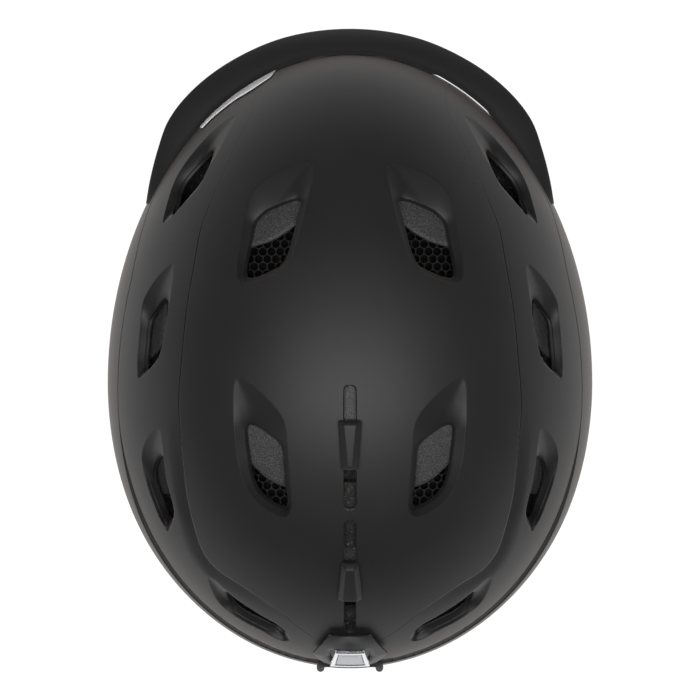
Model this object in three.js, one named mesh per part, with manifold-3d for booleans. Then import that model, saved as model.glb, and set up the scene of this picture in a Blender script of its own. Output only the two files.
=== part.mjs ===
// Ski helmet in millimetres, +Z up. The wearer looks along -Y, and their left side is +X.
// The origin is the middle of the head opening: on the widest line of the shell, 30 mm below its belt.
// Every layer of the helmet is a form: half an ellipsoid above the belt and a slower tuck below it.
// An inset moves a form towards the head, and a negative one moves it outwards.
import * as THREE from 'three';
import { mergeVertices } from 'three/addons/utils/BufferGeometryUtils.js';
import Module from 'manifold-3d';

const wasm = await Module();
wasm.setup();

// ---- driving dimensions ----
const BELT = 30; // height of the widest line
const SHELL = { side: 112.5, front: 153, back: 131, crown: 118, tuck: 130, shift: 0 };
const CAVITY = { side: 82, front: 106, back: 106, crown: 91, tuck: 400, shift: -8 };
const SHELL_WALL = 2.2;
const SEAM_GAP = 0.35;
const TOUCH = 0.3; // gap between pieces that rest on each other
const RIM = { mid: 14, swing: 25, earLift: 8, earAt: 95, earSpread: 24 }; // degrees from the front
const SCOOP = { depth: 4.8, wall: 1.2, skirt: 1.5 }; // a vent's funnel in the shell
const SHUTTER = { top: 7.4, bottom: 8.6 };
const FOAM_TOP = 3;
const POCKET = 10; // inset of the foam's floor under the shutters
const COMB_TOP = 10.4;
const COMB_LOW = 74; // the honeycomb blocks end at this height
const SLOT = { half: 2.75, front: [0.3, 54.4], rear: [59.4, 112.7] };
const WEB = { width: 18, thick: 1.6 };

const degrees = (d) => (d * Math.PI) / 180;
const plan = (pairs) => pairs.map(([x, y]) => new THREE.Vector2(x, y));

// ---- solids ----
// A geometry with only its positions, its shared vertices merged.
function bare(geometry) {
  const g = geometry.clone();
  g.deleteAttribute('normal');
  g.deleteAttribute('uv');
  return mergeVertices(g, 1e-4);
}

// The manifold solid of a closed geometry, turned round if a warp mirrored it.
function solid(geometry) {
  const g = bare(geometry);
  const make = (triVerts) =>
    new wasm.Manifold(new wasm.Mesh({ numProp: 3, vertProperties: g.attributes.position.array, triVerts }));
  const triangles = new Uint32Array(g.index.array);
  const made = make(triangles);
  if (made.volume() > 0) return made;
  for (let i = 0; i < triangles.length; i += 3) {
    [triangles[i + 1], triangles[i + 2]] = [triangles[i + 2], triangles[i + 1]];
  }
  return make(triangles);
}

// Moves every vertex of a geometry to place(x, y, z), and gives back the solid.
function warp(geometry, place) {
  const g = bare(geometry);
  const at = g.attributes.position;
  for (let i = 0; i < at.count; i++) {
    const p = place(at.getX(i), at.getY(i), at.getZ(i));
    at.setXYZ(i, p.x, p.y, p.z);
  }
  return solid(g);
}

const join = (solids) => solids.reduce((a, b) => a.add(b));
const largestOf = (made) => made.decompose().sort((a, b) => b.volume() - a.volume())[0];

// ---- forms ----
const axes = (form, inset, dy, dz) => ({
  a: form.side - inset,
  b: (dy < 0 ? form.front : form.back) - inset,
  c: (dz < 0 ? form.tuck : form.crown) - inset,
});

function rimHeight(phi) {
  const off = (Math.abs(phi) - degrees(RIM.earAt)) / degrees(RIM.earSpread);
  return RIM.mid + RIM.swing * Math.cos(phi) + RIM.earLift * Math.exp(-off * off);
}

// The point of a form at share t of the way from the crown to the rim, at angle phi from the front.
function polar(form, inset, t, phi, rim = rimHeight(phi)) {
  const drop = rim - BELT;
  const theta = t * Math.acos(drop / axes(form, inset, 0, drop).c);
  const d = new THREE.Vector3(Math.sin(theta) * Math.sin(phi), -Math.sin(theta) * Math.cos(phi), Math.cos(theta));
  const { a, b, c } = axes(form, inset, d.y, d.z);
  return new THREE.Vector3(a * d.x, form.shift + b * d.y, BELT + c * d.z);
}

// The point of a form above the plan position x, y.
function above(form, inset, x, y) {
  const { a, b, c } = axes(form, inset, y - form.shift, 1);
  const left = Math.max(0, 1 - (x / a) ** 2 - ((y - form.shift) / b) ** 2);
  return new THREE.Vector3(x, y, BELT + c * Math.sqrt(left));
}

// The point of a form behind or in front of x, z: side is 1 at the back and -1 at the front.
function across(form, inset, x, z, side) {
  const { a, b, c } = axes(form, inset, side, z - BELT);
  const left = Math.max(0, 1 - (x / a) ** 2 - ((z - BELT) / c) ** 2);
  return new THREE.Vector3(x, form.shift + side * b * Math.sqrt(left), z);
}

// The outward direction of a form at a point on it.
function outward(form, inset, p) {
  const y = p.y - form.shift;
  const { a, b, c } = axes(form, inset, y, p.z - BELT);
  return new THREE.Vector3(p.x / a ** 2, y / b ** 2, (p.z - BELT) / c ** 2).normalize();
}

// A closed bowl between two forms, from the crown to the rim. Each form is [form, inset].
function bowl([outer, outerInset], [inner, innerInset], around, down, lift = 0) {
  const arc = (r) =>
    Array.from({ length: down + 1 }, (_, i) => {
      const turn = ((i / down) * Math.PI) / 2;
      return new THREE.Vector2(i ? r * Math.sin(turn) : 0, i === down ? 0 : r * Math.cos(turn));
    });
  const profile = [...arc(2), ...arc(1).reverse()];
  return warp(new THREE.LatheGeometry(profile, around), (x, y, z) => {
    const r = Math.hypot(x, y, z);
    const t = Math.acos(Math.min(1, y / r)) / (Math.PI / 2);
    const phi = Math.atan2(x, -z);
    const rim = rimHeight(phi) + lift;
    return r > 1.5 ? polar(outer, outerInset, t, phi, rim) : polar(inner, innerInset, t, phi, rim);
  });
}

// A block on a form between two angles from the front and two heights, from inset [0] to inset [1].
function wallBlock(form, [from, to], height, insets, across_ = 12, up = 2) {
  return warp(new THREE.BoxGeometry(1, 1, 1, across_, up, 1), (x, y, z) => {
    const phi = degrees(from + (to - from) * (x + 0.5));
    const [low, high] = height(phi);
    const inset = z > 0 ? insets[0] : insets[1];
    return polar(form, inset, 1, phi, low + (high - low) * (y + 0.5));
  });
}

// ---- outlines ----
// A smooth closed outline through the points, as `count` points evenly spaced along it.
function smooth(points, count) {
  const curve = new THREE.CatmullRomCurve3(points.map((p) => new THREE.Vector3(p.x, p.y, 0)), true, 'centripetal');
  return curve.getSpacedPoints(count).slice(0, count).map((p) => new THREE.Vector2(p.x, p.y));
}

// The outline grown by a distance along its own normals.
function grown(points, by) {
  const turn = THREE.ShapeUtils.isClockWise(points) ? -1 : 1;
  return points.map((p, i) => {
    const before = points[(i + points.length - 1) % points.length];
    const after = points[(i + 1) % points.length];
    const along = after.clone().sub(before).normalize();
    return new THREE.Vector2(p.x + turn * along.y * by, p.y - turn * along.x * by);
  });
}

const mirrored = (points) => points.map((p) => new THREE.Vector2(-p.x, p.y));

// Everything above an outline in plan, from one height to another.
function column(points, low = -60, high = 220) {
  const g = new THREE.ExtrudeGeometry(new THREE.Shape(points), { depth: high - low, bevelEnabled: false });
  g.translate(0, 0, low);
  return solid(g);
}

// Everything on a form's inside and outside below a height that varies with the angle from the front.
function below(heightAt, count = 48) {
  const ring = (reach, height) =>
    Array.from({ length: count }, (_, i) => {
      const phi = ((i / count) * 2 - 1) * Math.PI;
      const y = -Math.cos(phi);
      const { a, b } = axes(SHELL, 0, y, 1);
      return new THREE.Vector3(reach * a * Math.sin(phi), reach * b * y, height(Math.abs(phi)));
    });
  return loft([ring(1.4, () => -80), ring(1.4, heightAt), ring(0.3, heightAt)]);
}

const box = (x0, x1, y0, y1, z0, z1) =>
  solid(new THREE.BoxGeometry(x1 - x0, y1 - y0, z1 - z0).translate((x0 + x1) / 2, (y0 + y1) / 2, (z0 + z1) / 2));

// A solid through a stack of rings with equal numbers of points. The first ring's plan gives the end caps.
function loft(rings) {
  const stack = THREE.ShapeUtils.isClockWise(rings[0]) ? rings.map((ring) => ring.slice().reverse()) : rings;
  const count = stack[0].length;
  const last = (stack.length - 1) * count;
  const caps = THREE.ShapeUtils.triangulateShape(stack[0].map((p) => new THREE.Vector2(p.x, p.y)), []);
  const faces = caps.flatMap(([i, j, k]) => [[k, j, i], [last + i, last + j, last + k]]);
  for (let r = 0; r < last; r += count) {
    for (let i = 0; i < count; i++) {
      const j = (i + 1) % count;
      faces.push([r + i, r + j, r + count + j], [r + i, r + count + j, r + count + i]);
    }
  }
  const g = new THREE.BufferGeometry().setFromPoints(stack.flat());
  g.setIndex(faces.flat());
  return solid(g);
}

const onShell = (points, inset) => points.map((p) => above(SHELL, inset, p.x, p.y));

// The ring pushed inwards along the shell's normals.
const pushed = (ring, inset, by) => ring.map((p) => p.clone().addScaledVector(outward(SHELL, inset, p), -by));

// ---- outlines of the shells and vents, wearer's left half, front first ----
const CROWN_HALF = plan([
  [0, -170], [43, -170], [44, -126], [50, -112], [56, -98], [62, -84], [67, -70], [69.5, -56], [73, -35],
  [75, -15], [76.7, 7.5], [75.7, 29.6], [74, 50], [71, 64], [66.8, 76.6], [61, 84], [47, 93], [31, 104],
  [17, 115], [0, 121],
]);
// The height of the lower shell's top edge, by angle from the front.
const BELT_SEAM = plan([
  [0, 45], [25, 46], [42, 49], [54, 53], [62, 62], [70, 70], [82, 70], [96, 68], [108, 64], [122, 58], [140, 53],
  [160, 50], [180, 49],
]);
const VENTS = {
  crown_front: {
    mouth: [[16.4, -98], [31.8, -95.7], [43, -87.2], [47, -76.7], [50.5, -51.4], [47, -45], [30.7, -50.9], [24.4, -61.6], [18.5, -84.6]],
    throat: [[22.9, -82.9], [31.7, -80.6], [40.9, -75], [44.1, -66.6], [46.8, -50.6], [44, -47.8], [35.6, -50.5], [28, -58.1], [24.1, -72.4]],
  },
  crown_rear: {
    mouth: [[50.8, -2], [43.9, -0.1], [32, 11.7], [28.2, 22.3], [25.9, 54.5], [30, 58.8], [37.3, 55.9], [47.5, 43.5], [51.6, 20]],
    throat: [[45.5, 18], [41.4, 18.6], [32, 25.4], [29.7, 33.9], [27.8, 52.5], [30, 54.9], [38.1, 50.3], [44.1, 39.6], [46.3, 25]],
  },
  side_front: {
    mouth: [[79.7, -53.5], [86.7, -48.9], [93.8, -37.7], [96, -20.2], [95.8, -4], [91, -5.3], [84.8, -16.2], [81.3, -36]],
    throat: [[82, -39], [87.5, -33], [91, -20.2], [91.7, -7.5], [89.5, -9.5], [86.5, -12.5], [84, -21], [82.3, -31]],
  },
  side_rear: {
    mouth: [[86, 20.5], [92.9, 26.5], [94, 38.8], [89.2, 55.1], [83, 67.3], [79.6, 60], [81.8, 46], [84.3, 29]],
    throat: [[85, 32], [88.2, 37.4], [87.5, 47], [84.5, 57], [82, 61.5], [80.2, 59], [81.6, 50], [83.6, 38]],
  },
  corner: {
    mouth: [[52, -122.4], [62.7, -115.8], [75, -101.6], [81, -90.4], [84.5, -72.8], [74.3, -82.5], [64.6, -96.7], [56.2, -112.4]],
    throat: [[62, -106.5], [67.5, -102], [73, -95.5], [77.5, -87.5], [80, -77.5], [75, -82.8], [69.5, -89.8], [65, -98]],
    open: true,
  },
  rear: {
    mouth: [[64.2, 87.5], [60.3, 99.4], [47.6, 109.4], [34.2, 116.4], [27.5, 117.8], [31.9, 110.3], [47.3, 100.4], [57.1, 92.5]],
    throat: [[56, 93.5], [52.6, 101.5], [44, 107.2], [36, 111], [29.8, 113], [32.5, 110], [42, 104.6], [50, 99]],
    open: true,
  },
};
const VENT_POINTS = 12;
const FOAM_DEPTH = 46; // past the foam's inner face, along the normal

// A vent on one side: its funnel's wall, the funnel's air, and the room it takes in the foam.
function vent({ mouth, throat, open }, side) {
  const flip = side < 0 ? mirrored : (p) => p;
  const rim = smooth(flip(plan(mouth)), VENT_POINTS);
  const neck = smooth(flip(plan(throat)), VENT_POINTS);
  const floor = SCOOP.depth + SCOOP.wall;
  const neckRing = onShell(neck, SCOOP.depth);
  const wideNeck = onShell(grown(neck, SCOOP.skirt * 2), floor + 1);
  return {
    wall: loft([onShell(grown(rim, SCOOP.skirt), 0.6), onShell(grown(neck, SCOOP.skirt), floor)]),
    air: loft([onShell(rim, -3), onShell(rim, 0), neckRing, pushed(neckRing, SCOOP.depth, 4)]),
    room: loft([
      onShell(grown(rim, SCOOP.skirt + 1), -3),
      onShell(grown(rim, SCOOP.skirt + 1), 0.6),
      wideNeck,
      pushed(wideNeck, floor + 1, open ? FOAM_DEPTH : 5),
    ]),
  };
}

const sides = [1, -1];
const sideName = (side) => (side > 0 ? 'left' : 'right');
const ventsOf = (...names) => names.flatMap((name) => sides.map((side) => vent(VENTS[name], side)));

// ---- materials ----
const paint = (color, roughness, metalness = 0) => new THREE.MeshStandardMaterial({ color, roughness, metalness });
const MATERIAL = {
  shell: paint(0x2b2b2d, 0.55),
  brim: paint(0x242425, 0.6),
  plastic: paint(0x1d1d1f, 0.5),
  shutter: paint(0x2e2e2f, 0.8),
  foam: paint(0x1b1b1c, 0.9),
  comb: paint(0x141412, 0.5),
  chrome: paint(0xc9ccd0, 0.15, 1),
  accent: paint(0xe8e9ea, 0.3),
  fabric: paint(0x202124, 0.95),
  webbing: paint(0x151516, 0.9),
  rubber: paint(0x121212, 0.8),
  steel: paint(0x8d9095, 0.35, 1),
};

const helmet = new THREE.Group();

function add(name, made, material) {
  const mesh = made.getMesh();
  const geometry = new THREE.BufferGeometry();
  geometry.setAttribute('position', new THREE.BufferAttribute(new Float32Array(mesh.vertProperties), 3));
  geometry.setIndex(new THREE.BufferAttribute(mesh.triVerts, 1));
  geometry.computeVertexNormals();
  const piece = new THREE.Mesh(geometry, material);
  piece.name = name;
  helmet.add(piece);
  return made;
}

// ---- outer shells ----
const crownOutline = [...CROWN_HALF, ...mirrored(CROWN_HALF).reverse().slice(1, -1)];

function beltHeight(phi) {
  const at = THREE.MathUtils.radToDeg(phi);
  const i = Math.max(1, BELT_SEAM.findIndex((p) => p.x >= at - 1e-6));
  const [p, q] = [BELT_SEAM[i - 1], BELT_SEAM[i]];
  return p.y + ((q.y - p.y) * (at - p.x)) / (q.x - p.x);
}

function slotOutline([from, to], half = SLOT.half) {
  const shape = new THREE.Shape();
  shape.absarc(0, to - half, half, 0, Math.PI, false);
  shape.absarc(0, from + half, half, Math.PI, 2 * Math.PI, false);
  return shape.getPoints(5);
}

function buildShells() {
  const shell = bowl([SHELL, 0], [SHELL, SHELL_WALL], 48, 10);
  const crownColumn = column(crownOutline);
  const high = shell.subtract(below((phi) => beltHeight(phi) + SEAM_GAP));
  const cut = (piece, vents) => {
    const walled = join([piece, ...vents.map((v) => v.wall)]);
    return walled.subtract(join(vents.map((v) => v.air)));
  };
  const slots = join([column(slotOutline(SLOT.front), 80), column(slotOutline(SLOT.rear), 80)]);
  const upper = cut(high.intersect(crownColumn), ventsOf('crown_front', 'crown_rear'));
  add('upper_shell', upper.subtract(slots), MATERIAL.shell);
  const side = high.subtract(column(grown(crownOutline, SEAM_GAP)));
  add('side_shell', cut(largestOf(side), ventsOf('side_front', 'side_rear', 'corner', 'rear')), MATERIAL.shell);
  add('lower_shell', shell.intersect(below(beltHeight)), MATERIAL.shell);
}

// ---- brim ----
const BRIM = {
  edge: [[94.3, -83], [92.5, -94], [89, -108], [84, -121.8], [73, -135.8], [55, -149.5], [30, -160.5], [0, -164.5]],
  root: [[92.3, -83], [85, -94.5], [77, -106], [65.8, -121.5], [51.5, -134], [32, -145.3], [16, -150.6], [0, -152]],
  rootHeight: [51, 45.5], // at the wings and at the middle
  edgeHeight: [48, 37],
  thick: [3.4, 1.8],
  slot: { from: 35, to: 68, width: 1.1 }, // the air gap behind the brim, by distance from the middle
};

function curveThrough(half) {
  const points = plan(half);
  const all = [...points, ...mirrored(points.slice(0, -1)).reverse()];
  return new THREE.SplineCurve(all);
}

const ease = (t) => t * t * (3 - 2 * t);
const clamp01 = (t) => Math.min(1, Math.max(0, t));

function slotGap(x) {
  const { from, to, width } = BRIM.slot;
  const away = Math.abs(x);
  return width * ease(clamp01((away - from) / 4)) * ease(clamp01((to - away) / 4));
}

function buildBrim() {
  const edge = curveThrough(BRIM.edge);
  const root = curveThrough(BRIM.root);
  const sections = 44;
  const made = warp(new THREE.BoxGeometry(1, 1, 1, sections, 3, 1), (x, y, z) => {
    const u = x + 0.5;
    const v = y + 0.5;
    const wing = Math.abs(2 * u - 1) ** 1.5;
    const mix = ([atWing, atMiddle]) => atMiddle + (atWing - atMiddle) * wing;
    const inner = root.getPointAt(u);
    const outer = edge.getPointAt(u);
    const away = outer.clone().sub(inner).normalize();
    const rise = 1.6 * Math.sin(Math.PI * v) * (1 - wing);
    const thick = BRIM.thick[0] + (BRIM.thick[1] - BRIM.thick[0]) * v;
    const height = mix(BRIM.rootHeight) * (1 - v) + mix(BRIM.edgeHeight) * v + rise + (z > 0 ? 0 : -thick);
    const onSkin = clearOfShell(inner, away, mix(BRIM.rootHeight) - BRIM.thick[0], slotGap(inner.x));
    const at = onSkin.lerp(outer, v);
    return new THREE.Vector3(at.x, at.y, height);
  });
  add('brim', made, MATERIAL.brim);
}

// A plan position moved outwards along `away` until it stands clear of the shell at that height.
function clearOfShell(start, away, height, extra) {
  const gap = -0.6;
  const { a, b, c } = axes(SHELL, gap, -1, height - BELT);
  const reach = 1 - ((height - BELT) / c) ** 2;
  const inside = (p) => (p.x / a) ** 2 + (p.y / b) ** 2 < reach;
  const p = start.clone();
  for (let i = 0; i < 60 && inside(p); i++) p.addScaledVector(away, 0.1);
  return p.addScaledVector(away, extra);
}

const BADGE = {
  low: [[34.2, -143.8], [43.6, -138.6], [51.4, -133.4], [59.1, -127.3], [65.6, -121.1], [68.6, -117.4]],
  high: [[36.6, -140.2], [46, -133.7], [52.5, -129.9], [57.6, -126.1], [63.4, -121.3], [67.6, -117]],
  stand: [0.5, 1.1],
};

function buildBadge() {
  const [low, high] = [BADGE.low, BADGE.high].map((points) => new THREE.SplineCurve(plan(points)));
  const made = warp(new THREE.BoxGeometry(1, 1, 1, 14, 2, 1), (x, y, z) => {
    const at = low.getPoint(x + 0.5).lerp(high.getPoint(x + 0.5), y + 0.5);
    const foot = above(SHELL, 0, at.x, at.y);
    return foot.addScaledVector(outward(SHELL, 0, foot), BADGE.stand[z > 0 ? 1 : 0]);
  });
  add('brow_badge', made, MATERIAL.accent);
}

// ---- foam and honeycomb ----
const COMB = {
  front: [[20, -90], [44, -90], [58, -76], [74, -62], [97, -50], [99, -2], [60, -6], [20, -40]],
  rear: [[21, 14], [60, 12], [97, 16], [97, 44], [86, 68], [56, 62], [21, 60]],
};
const POCKETS = [
  [[-9.5, -112], [9.5, -112], [9.5, 110], [-9.5, 110]],
  [[-56, -112], [56, -112], [56, -44], [-56, -44]],
];
const SIDE_POCKETS = [
  [[9, -16], [56, -16], [56, 90], [9, 90]],
  [[50, -91], [101, -69], [101, 6], [50, 6]],
  [[50, -12], [101, -12], [101, 64], [50, 64]],
];
const POCKET_LOW = 58; // the pockets don't reach below this height
const SHUTTER_LOW = 72;
const EAR_TONGUES = [[-30, -18], [22, 34]]; // front and back of each ear pad tongue
const TONGUE_TOP = 36;
const TONGUE_SLOT = [95.2, 101.6]; // wide enough for the leaning tongue to come straight down

const flipX = (made) => made.mirror([1, 0, 0]);

function combOutline(name, side, extra = 0) {
  const points = grown(plan(COMB[name]), extra);
  return side < 0 ? mirrored(points) : points;
}

function buildFoam() {
  let foam = bowl([SHELL, FOAM_TOP], [CAVITY, 0], 48, 10, 0.8);
  const skin = bowl([SHELL, -6], [SHELL, POCKET], 48, 10);
  const outlines = [
    ...POCKETS.map(plan),
    ...SIDE_POCKETS.flatMap((p) => [plan(p), mirrored(plan(p))]),
  ];
  foam = foam.subtract(skin.intersect(join(outlines.map((o) => column(o, POCKET_LOW)))));
  foam = foam.subtract(join(ventsOf(...Object.keys(VENTS)).map((v) => v.room)));
  for (const side of sides) {
    for (const name of Object.keys(COMB)) {
      foam = foam.subtract(column(combOutline(name, side, 0.4), COMB_LOW - 0.4));
    }
    for (const [from, to] of EAR_TONGUES) {
      const slot = box(TONGUE_SLOT[0], TONGUE_SLOT[1], from - 0.5, to + 0.5, -20, TONGUE_TOP + 1);
      foam = foam.subtract(side > 0 ? slot : flipX(slot));
    }
  }
  add('impact_foam', largestOf(foam), MATERIAL.foam);
}

function buildComb() {
  const filling = bowl([SHELL, COMB_TOP], [CAVITY, -0.5], 48, 11);
  for (const side of sides) {
    for (const name of Object.keys(COMB)) {
      const made = filling.intersect(column(combOutline(name, side), COMB_LOW));
      add(`honeycomb_${name}_${sideName(side)}`, made, MATERIAL.comb);
    }
  }
}

// ---- vent shutters and their sliders ----
const FRONT_SHUTTER = [ // the left half, from the middle of the front edge
  [0, -97], [50, -97], [51, -76], [66, -66], [97, -60], [97, -10], [84.5, -19.5], [82, -44], [62, -54],
  [48, -60.5], [36, -64.6], [24, -71.8], [16, -80], [6.5, -84], [6.5, 34], [0, 34],
];
const REAR_SHUTTER = [
  [0, 68], [11.5, 68], [11.5, 2], [54, 2], [84, 12], [97, 16], [97, 46], [83, 50.5], [79, 49],
  [70, 40], [50, 33], [44.7, 35.5], [36, 43], [27, 47.2], [24, 47.2], [24, 78], [6.5, 78], [6.5, 98], [0, 98],
];
const KNOBS = {
  front: { y: [15.6, 40.5], half: [5.3, 3.9], neck: [23, 33] },
  rear: { y: [79.5, 100], half: [3.6, 5.5], neck: [85, 95] },
};
const KNOB_TOP = 5.2;

function buildShutters() {
  const sheet = bowl([SHELL, SHUTTER.top], [SHELL, SHUTTER.bottom], 48, 10);
  const shape = (half) => {
    const points = plan(half);
    return [...points, ...mirrored(points).reverse()].filter((p, i, all) => {
      const next = all[(i + 1) % all.length];
      return p.distanceTo(next) > 1e-6;
    });
  };
  add('front_vent_shutter', sheet.intersect(column(shape(FRONT_SHUTTER), SHUTTER_LOW)), MATERIAL.shutter);
  add('rear_vent_shutter', sheet.intersect(column(shape(REAR_SHUTTER), SHUTTER_LOW)), MATERIAL.shutter);
  for (const [name, knob] of Object.entries(KNOBS)) {
    add(`${name}_slider_knob`, sliderKnob(knob), MATERIAL.plastic);
  }
}

// A finger knob on the shell with a neck down to its shutter.
function sliderKnob({ y, half, neck }) {
  const outline = (shrink) => {
    const [y0, y1] = [y[0] + shrink, y[1] - shrink];
    const [h0, h1] = half.map((h) => h - shrink);
    const bow = (t) => [h0 + (h1 - h0) * t, y0 + (y1 - y0) * t];
    const right = [0, 0.12, 0.5, 0.88, 1].map((t, i) => {
      const [h, at] = bow(t);
      return [i === 0 || i === 4 ? h * 0.75 : h, at];
    });
    return plan([...right, ...right.slice().reverse().map(([h, at]) => [-h, at])]);
  };
  const body = loft([
    onShell(outline(0), -0.7),
    onShell(outline(0.2), -2.6),
    onShell(outline(1.6), -KNOB_TOP),
  ]);
  const stem = [[-2, neck[0]], [2, neck[0]], [2, neck[1]], [-2, neck[1]]];
  return body.add(loft([onShell(plan(stem), -1.5), onShell(plan(stem), SHUTTER.top - TOUCH)]));
}

// ---- goggle clip at the back ----
const CLIP = {
  lever: [[8, 91], [16.5, 74], [11.3, 63]], // x, z down the left side
  base: [[7, 89], [13, 74], [9, 64]],
  badge: [[6, 81], [8.4, 66.5]],
  baseStand: [0.4, 1.6],
  leverStand: [2.1, 4.4],
  badgeStand: [4.7, 5.4],
  cordRadius: 1.8,
};
const CLIP_HINGE = { y: 117.5, z: 91.5 };

// A plate on the back of the shell, standing between two distances off it.
function backPlate(half, [low, high], rows = 3) {
  const curve = new THREE.Path(half.map(([x, z]) => new THREE.Vector2(x, z)));
  return warp(new THREE.BoxGeometry(1, 1, 1, 6, rows * 2, 1), (x, y, z) => {
    const at = curve.getPointAt(0.5 - y);
    return across(SHELL, z > 0 ? -high : -low, at.x * 2 * x, at.y, 1);
  });
}

function buildClip() {
  add('goggle_clip_base', backPlate(CLIP.base, CLIP.baseStand), MATERIAL.plastic);
  add('goggle_clip_lever', backPlate(CLIP.lever, CLIP.leverStand), MATERIAL.plastic);
  add('clip_badge', backPlate(CLIP.badge, CLIP.badgeStand, 1), MATERIAL.chrome);
  const off = -(CLIP.cordRadius + 0.7);
  const run = [[13.3, 47], [12.6, 57], [10, 60.2], [4, 60.4]];
  const points = run.map(([x, z]) => across(SHELL, off, x, z, 1));
  points[0].y += 2.2;
  const path = new THREE.CatmullRomCurve3([...points, ...points.map((p) => new THREE.Vector3(-p.x, p.y, p.z)).reverse()]);
  const ring = new THREE.Shape().absarc(0, 0, CLIP.cordRadius, 0, 2 * Math.PI);
  const cord = new THREE.ExtrudeGeometry(new THREE.Shape(ring.getPoints(4).slice(0, 8)), {
    steps: 22,
    extrudePath: path,
  });
  add('goggle_cord', solid(cord), MATERIAL.rubber);
}

// ---- comfort liner and fit system ----
const PAD = [3.2, 9.2]; // insets of the pads inside the foam's cavity
const BAND = { inset: [0.8, 2.2], height: 11 };
const CRADLE = { inset: [7, 9.4], travel: 10 };
const DIAL = { z: -32, radius: 16, depth: 9 };

const strip = (low, high) => () => [low, high];

// A pad on the ceiling of the cavity, above a plan rectangle.
function ceilingPad([x0, x1], [y0, y1], nx, ny) {
  return warp(new THREE.BoxGeometry(1, 1, 1, nx, ny, 1), (x, y, z) => {
    const px = x0 + (x1 - x0) * (x + 0.5);
    const py = y0 + (y1 - y0) * (y + 0.5);
    return above(CAVITY, z > 0 ? PAD[0] - 2.6 : PAD[1] - 2.6, px, py);
  });
}

function buildLiner() {
  add('brow_pad', wallBlock(CAVITY, [-62, 62], strip(40, 66), PAD, 14), MATERIAL.fabric);
  add('crown_pad_middle', ceilingPad([-15, 15], [-66, 52], 4, 10), MATERIAL.fabric);
  for (const side of sides) {
    const name = sideName(side);
    const x = side > 0 ? [25, 53] : [-53, -25];
    add(`crown_pad_${name}`, ceilingPad(x, [-52, 38], 4, 8), MATERIAL.fabric);
    const turn = side > 0 ? [70, 128] : [-128, -70];
    add(`side_pad_${name}`, wallBlock(CAVITY, turn, strip(50, 70), PAD, 7), MATERIAL.fabric);
  }
  add('fit_band', wallBlock(CAVITY, [-108, 108], strip(38, 38 + BAND.height), BAND.inset, 28, 1), MATERIAL.plastic);
}

function buildCradle() {
  const plate = wallBlock(CAVITY, [152, 208], strip(-50, 30), CRADLE.inset, 10, 4);
  const arms = [[134, 154], [206, 226]].map((turn) => wallBlock(CAVITY, turn, strip(16, 30), CRADLE.inset, 6, 1));
  const windows = [[158, 174], [186, 202]].map((turn) => wallBlock(CAVITY, turn, strip(2, 14), [5, 12], 3, 1));
  const frame = join([plate, ...arms]).subtract(join(windows));
  add('rear_cradle', frame, MATERIAL.plastic);
  add('nape_pad', wallBlock(CAVITY, [156, 204], strip(-40, -2), [CRADLE.inset[1] + TOUCH, 15], 8, 3), MATERIAL.fabric);
  const back = CAVITY.shift + CAVITY.back - CRADLE.inset[0];
  const disc = (radius, from, to, count) => {
    const g = new THREE.CylinderGeometry(radius, radius, to - from, count);
    return solid(g.translate(0, (from + to) / 2, 0)).translate([0, 0, DIAL.z]);
  };
  add('dial_housing', disc(DIAL.radius + 2.5, back + 0.4, back + 6.5, 28), MATERIAL.plastic);
  const lobes = 24;
  const outline = Array.from({ length: lobes * 2 }, (_, i) => {
    const r = DIAL.radius - (i % 2 ? 0.7 : 0);
    const turn = (i / (lobes * 2)) * 2 * Math.PI;
    return new THREE.Vector2(r * Math.cos(turn), r * Math.sin(turn));
  });
  const knob = new THREE.ExtrudeGeometry(new THREE.Shape(outline), { depth: DIAL.depth, bevelEnabled: false });
  knob.rotateX(-Math.PI / 2).translate(0, back + 6.9, 0);
  knob.rotateX(0).translate(0, 0, DIAL.z);
  add('fit_dial', warp(knob, (x, y, z) => new THREE.Vector3(x, y, z)), MATERIAL.rubber);
}

// ---- ear pads ----
const EAR_OUTLINE = [ // y, z of the side view
  [-46, 22], [-20, 20], [8, 15], [32, 5.5], [51, -5], [48, -20], [38, -44], [22, -59], [2, -62], [-16, -52],
  [-32, -28], [-44, 2],
];
const EAR_LEAN = 0.098; // how far the pads lean in per millimetre down
const EAR = { inner: 82, cushion: 15, frame: 2 };
const earInner = (z) => EAR.inner + (z - 22) * EAR_LEAN;

// A side-view outline given thickness outwards from the ear pad's inner face.
function earSlab(points, from, to, bevel) {
  const g = new THREE.ExtrudeGeometry(new THREE.Shape(points), {
    depth: to - from - 2 * bevel,
    bevelEnabled: bevel > 0,
    bevelThickness: bevel,
    bevelSize: bevel,
    bevelOffset: -bevel,
    bevelSegments: 2,
  });
  return warp(g, (y, z, out) => new THREE.Vector3(earInner(z) + from + bevel + out, y, z));
}


// The frame behind an ear pad: a plate with two tongues that push up into the foam.
function frameOutline() {
  const tongue = ([from, to], foot) => [[from, foot], [from, TONGUE_TOP], [to, TONGUE_TOP], [to, foot]];
  const [front, rear] = EAR_TONGUES;
  return plan([
    [-42, 8], [-40, 17], ...tongue(front, 17), [0, 13], ...tongue(rear, 4), [46, -6], [43, -22], [34, -41], [21, -54],
    [3, -57], [-13, -48], [-29, -25], [-40, 2],
  ]);
}

function buildEars() {
  const cushion = earSlab(smooth(plan(EAR_OUTLINE), 26), 0, EAR.cushion, 4);
  const frame = earSlab(frameOutline(), EAR.cushion + TOUCH, EAR.cushion + TOUCH + EAR.frame, 0);
  for (const side of sides) {
    const turned = (made) => (side > 0 ? made : flipX(made));
    add(`ear_pad_${sideName(side)}`, turned(cushion), MATERIAL.fabric);
    add(`ear_pad_frame_${sideName(side)}`, turned(frame), MATERIAL.plastic);
  }
}

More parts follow.
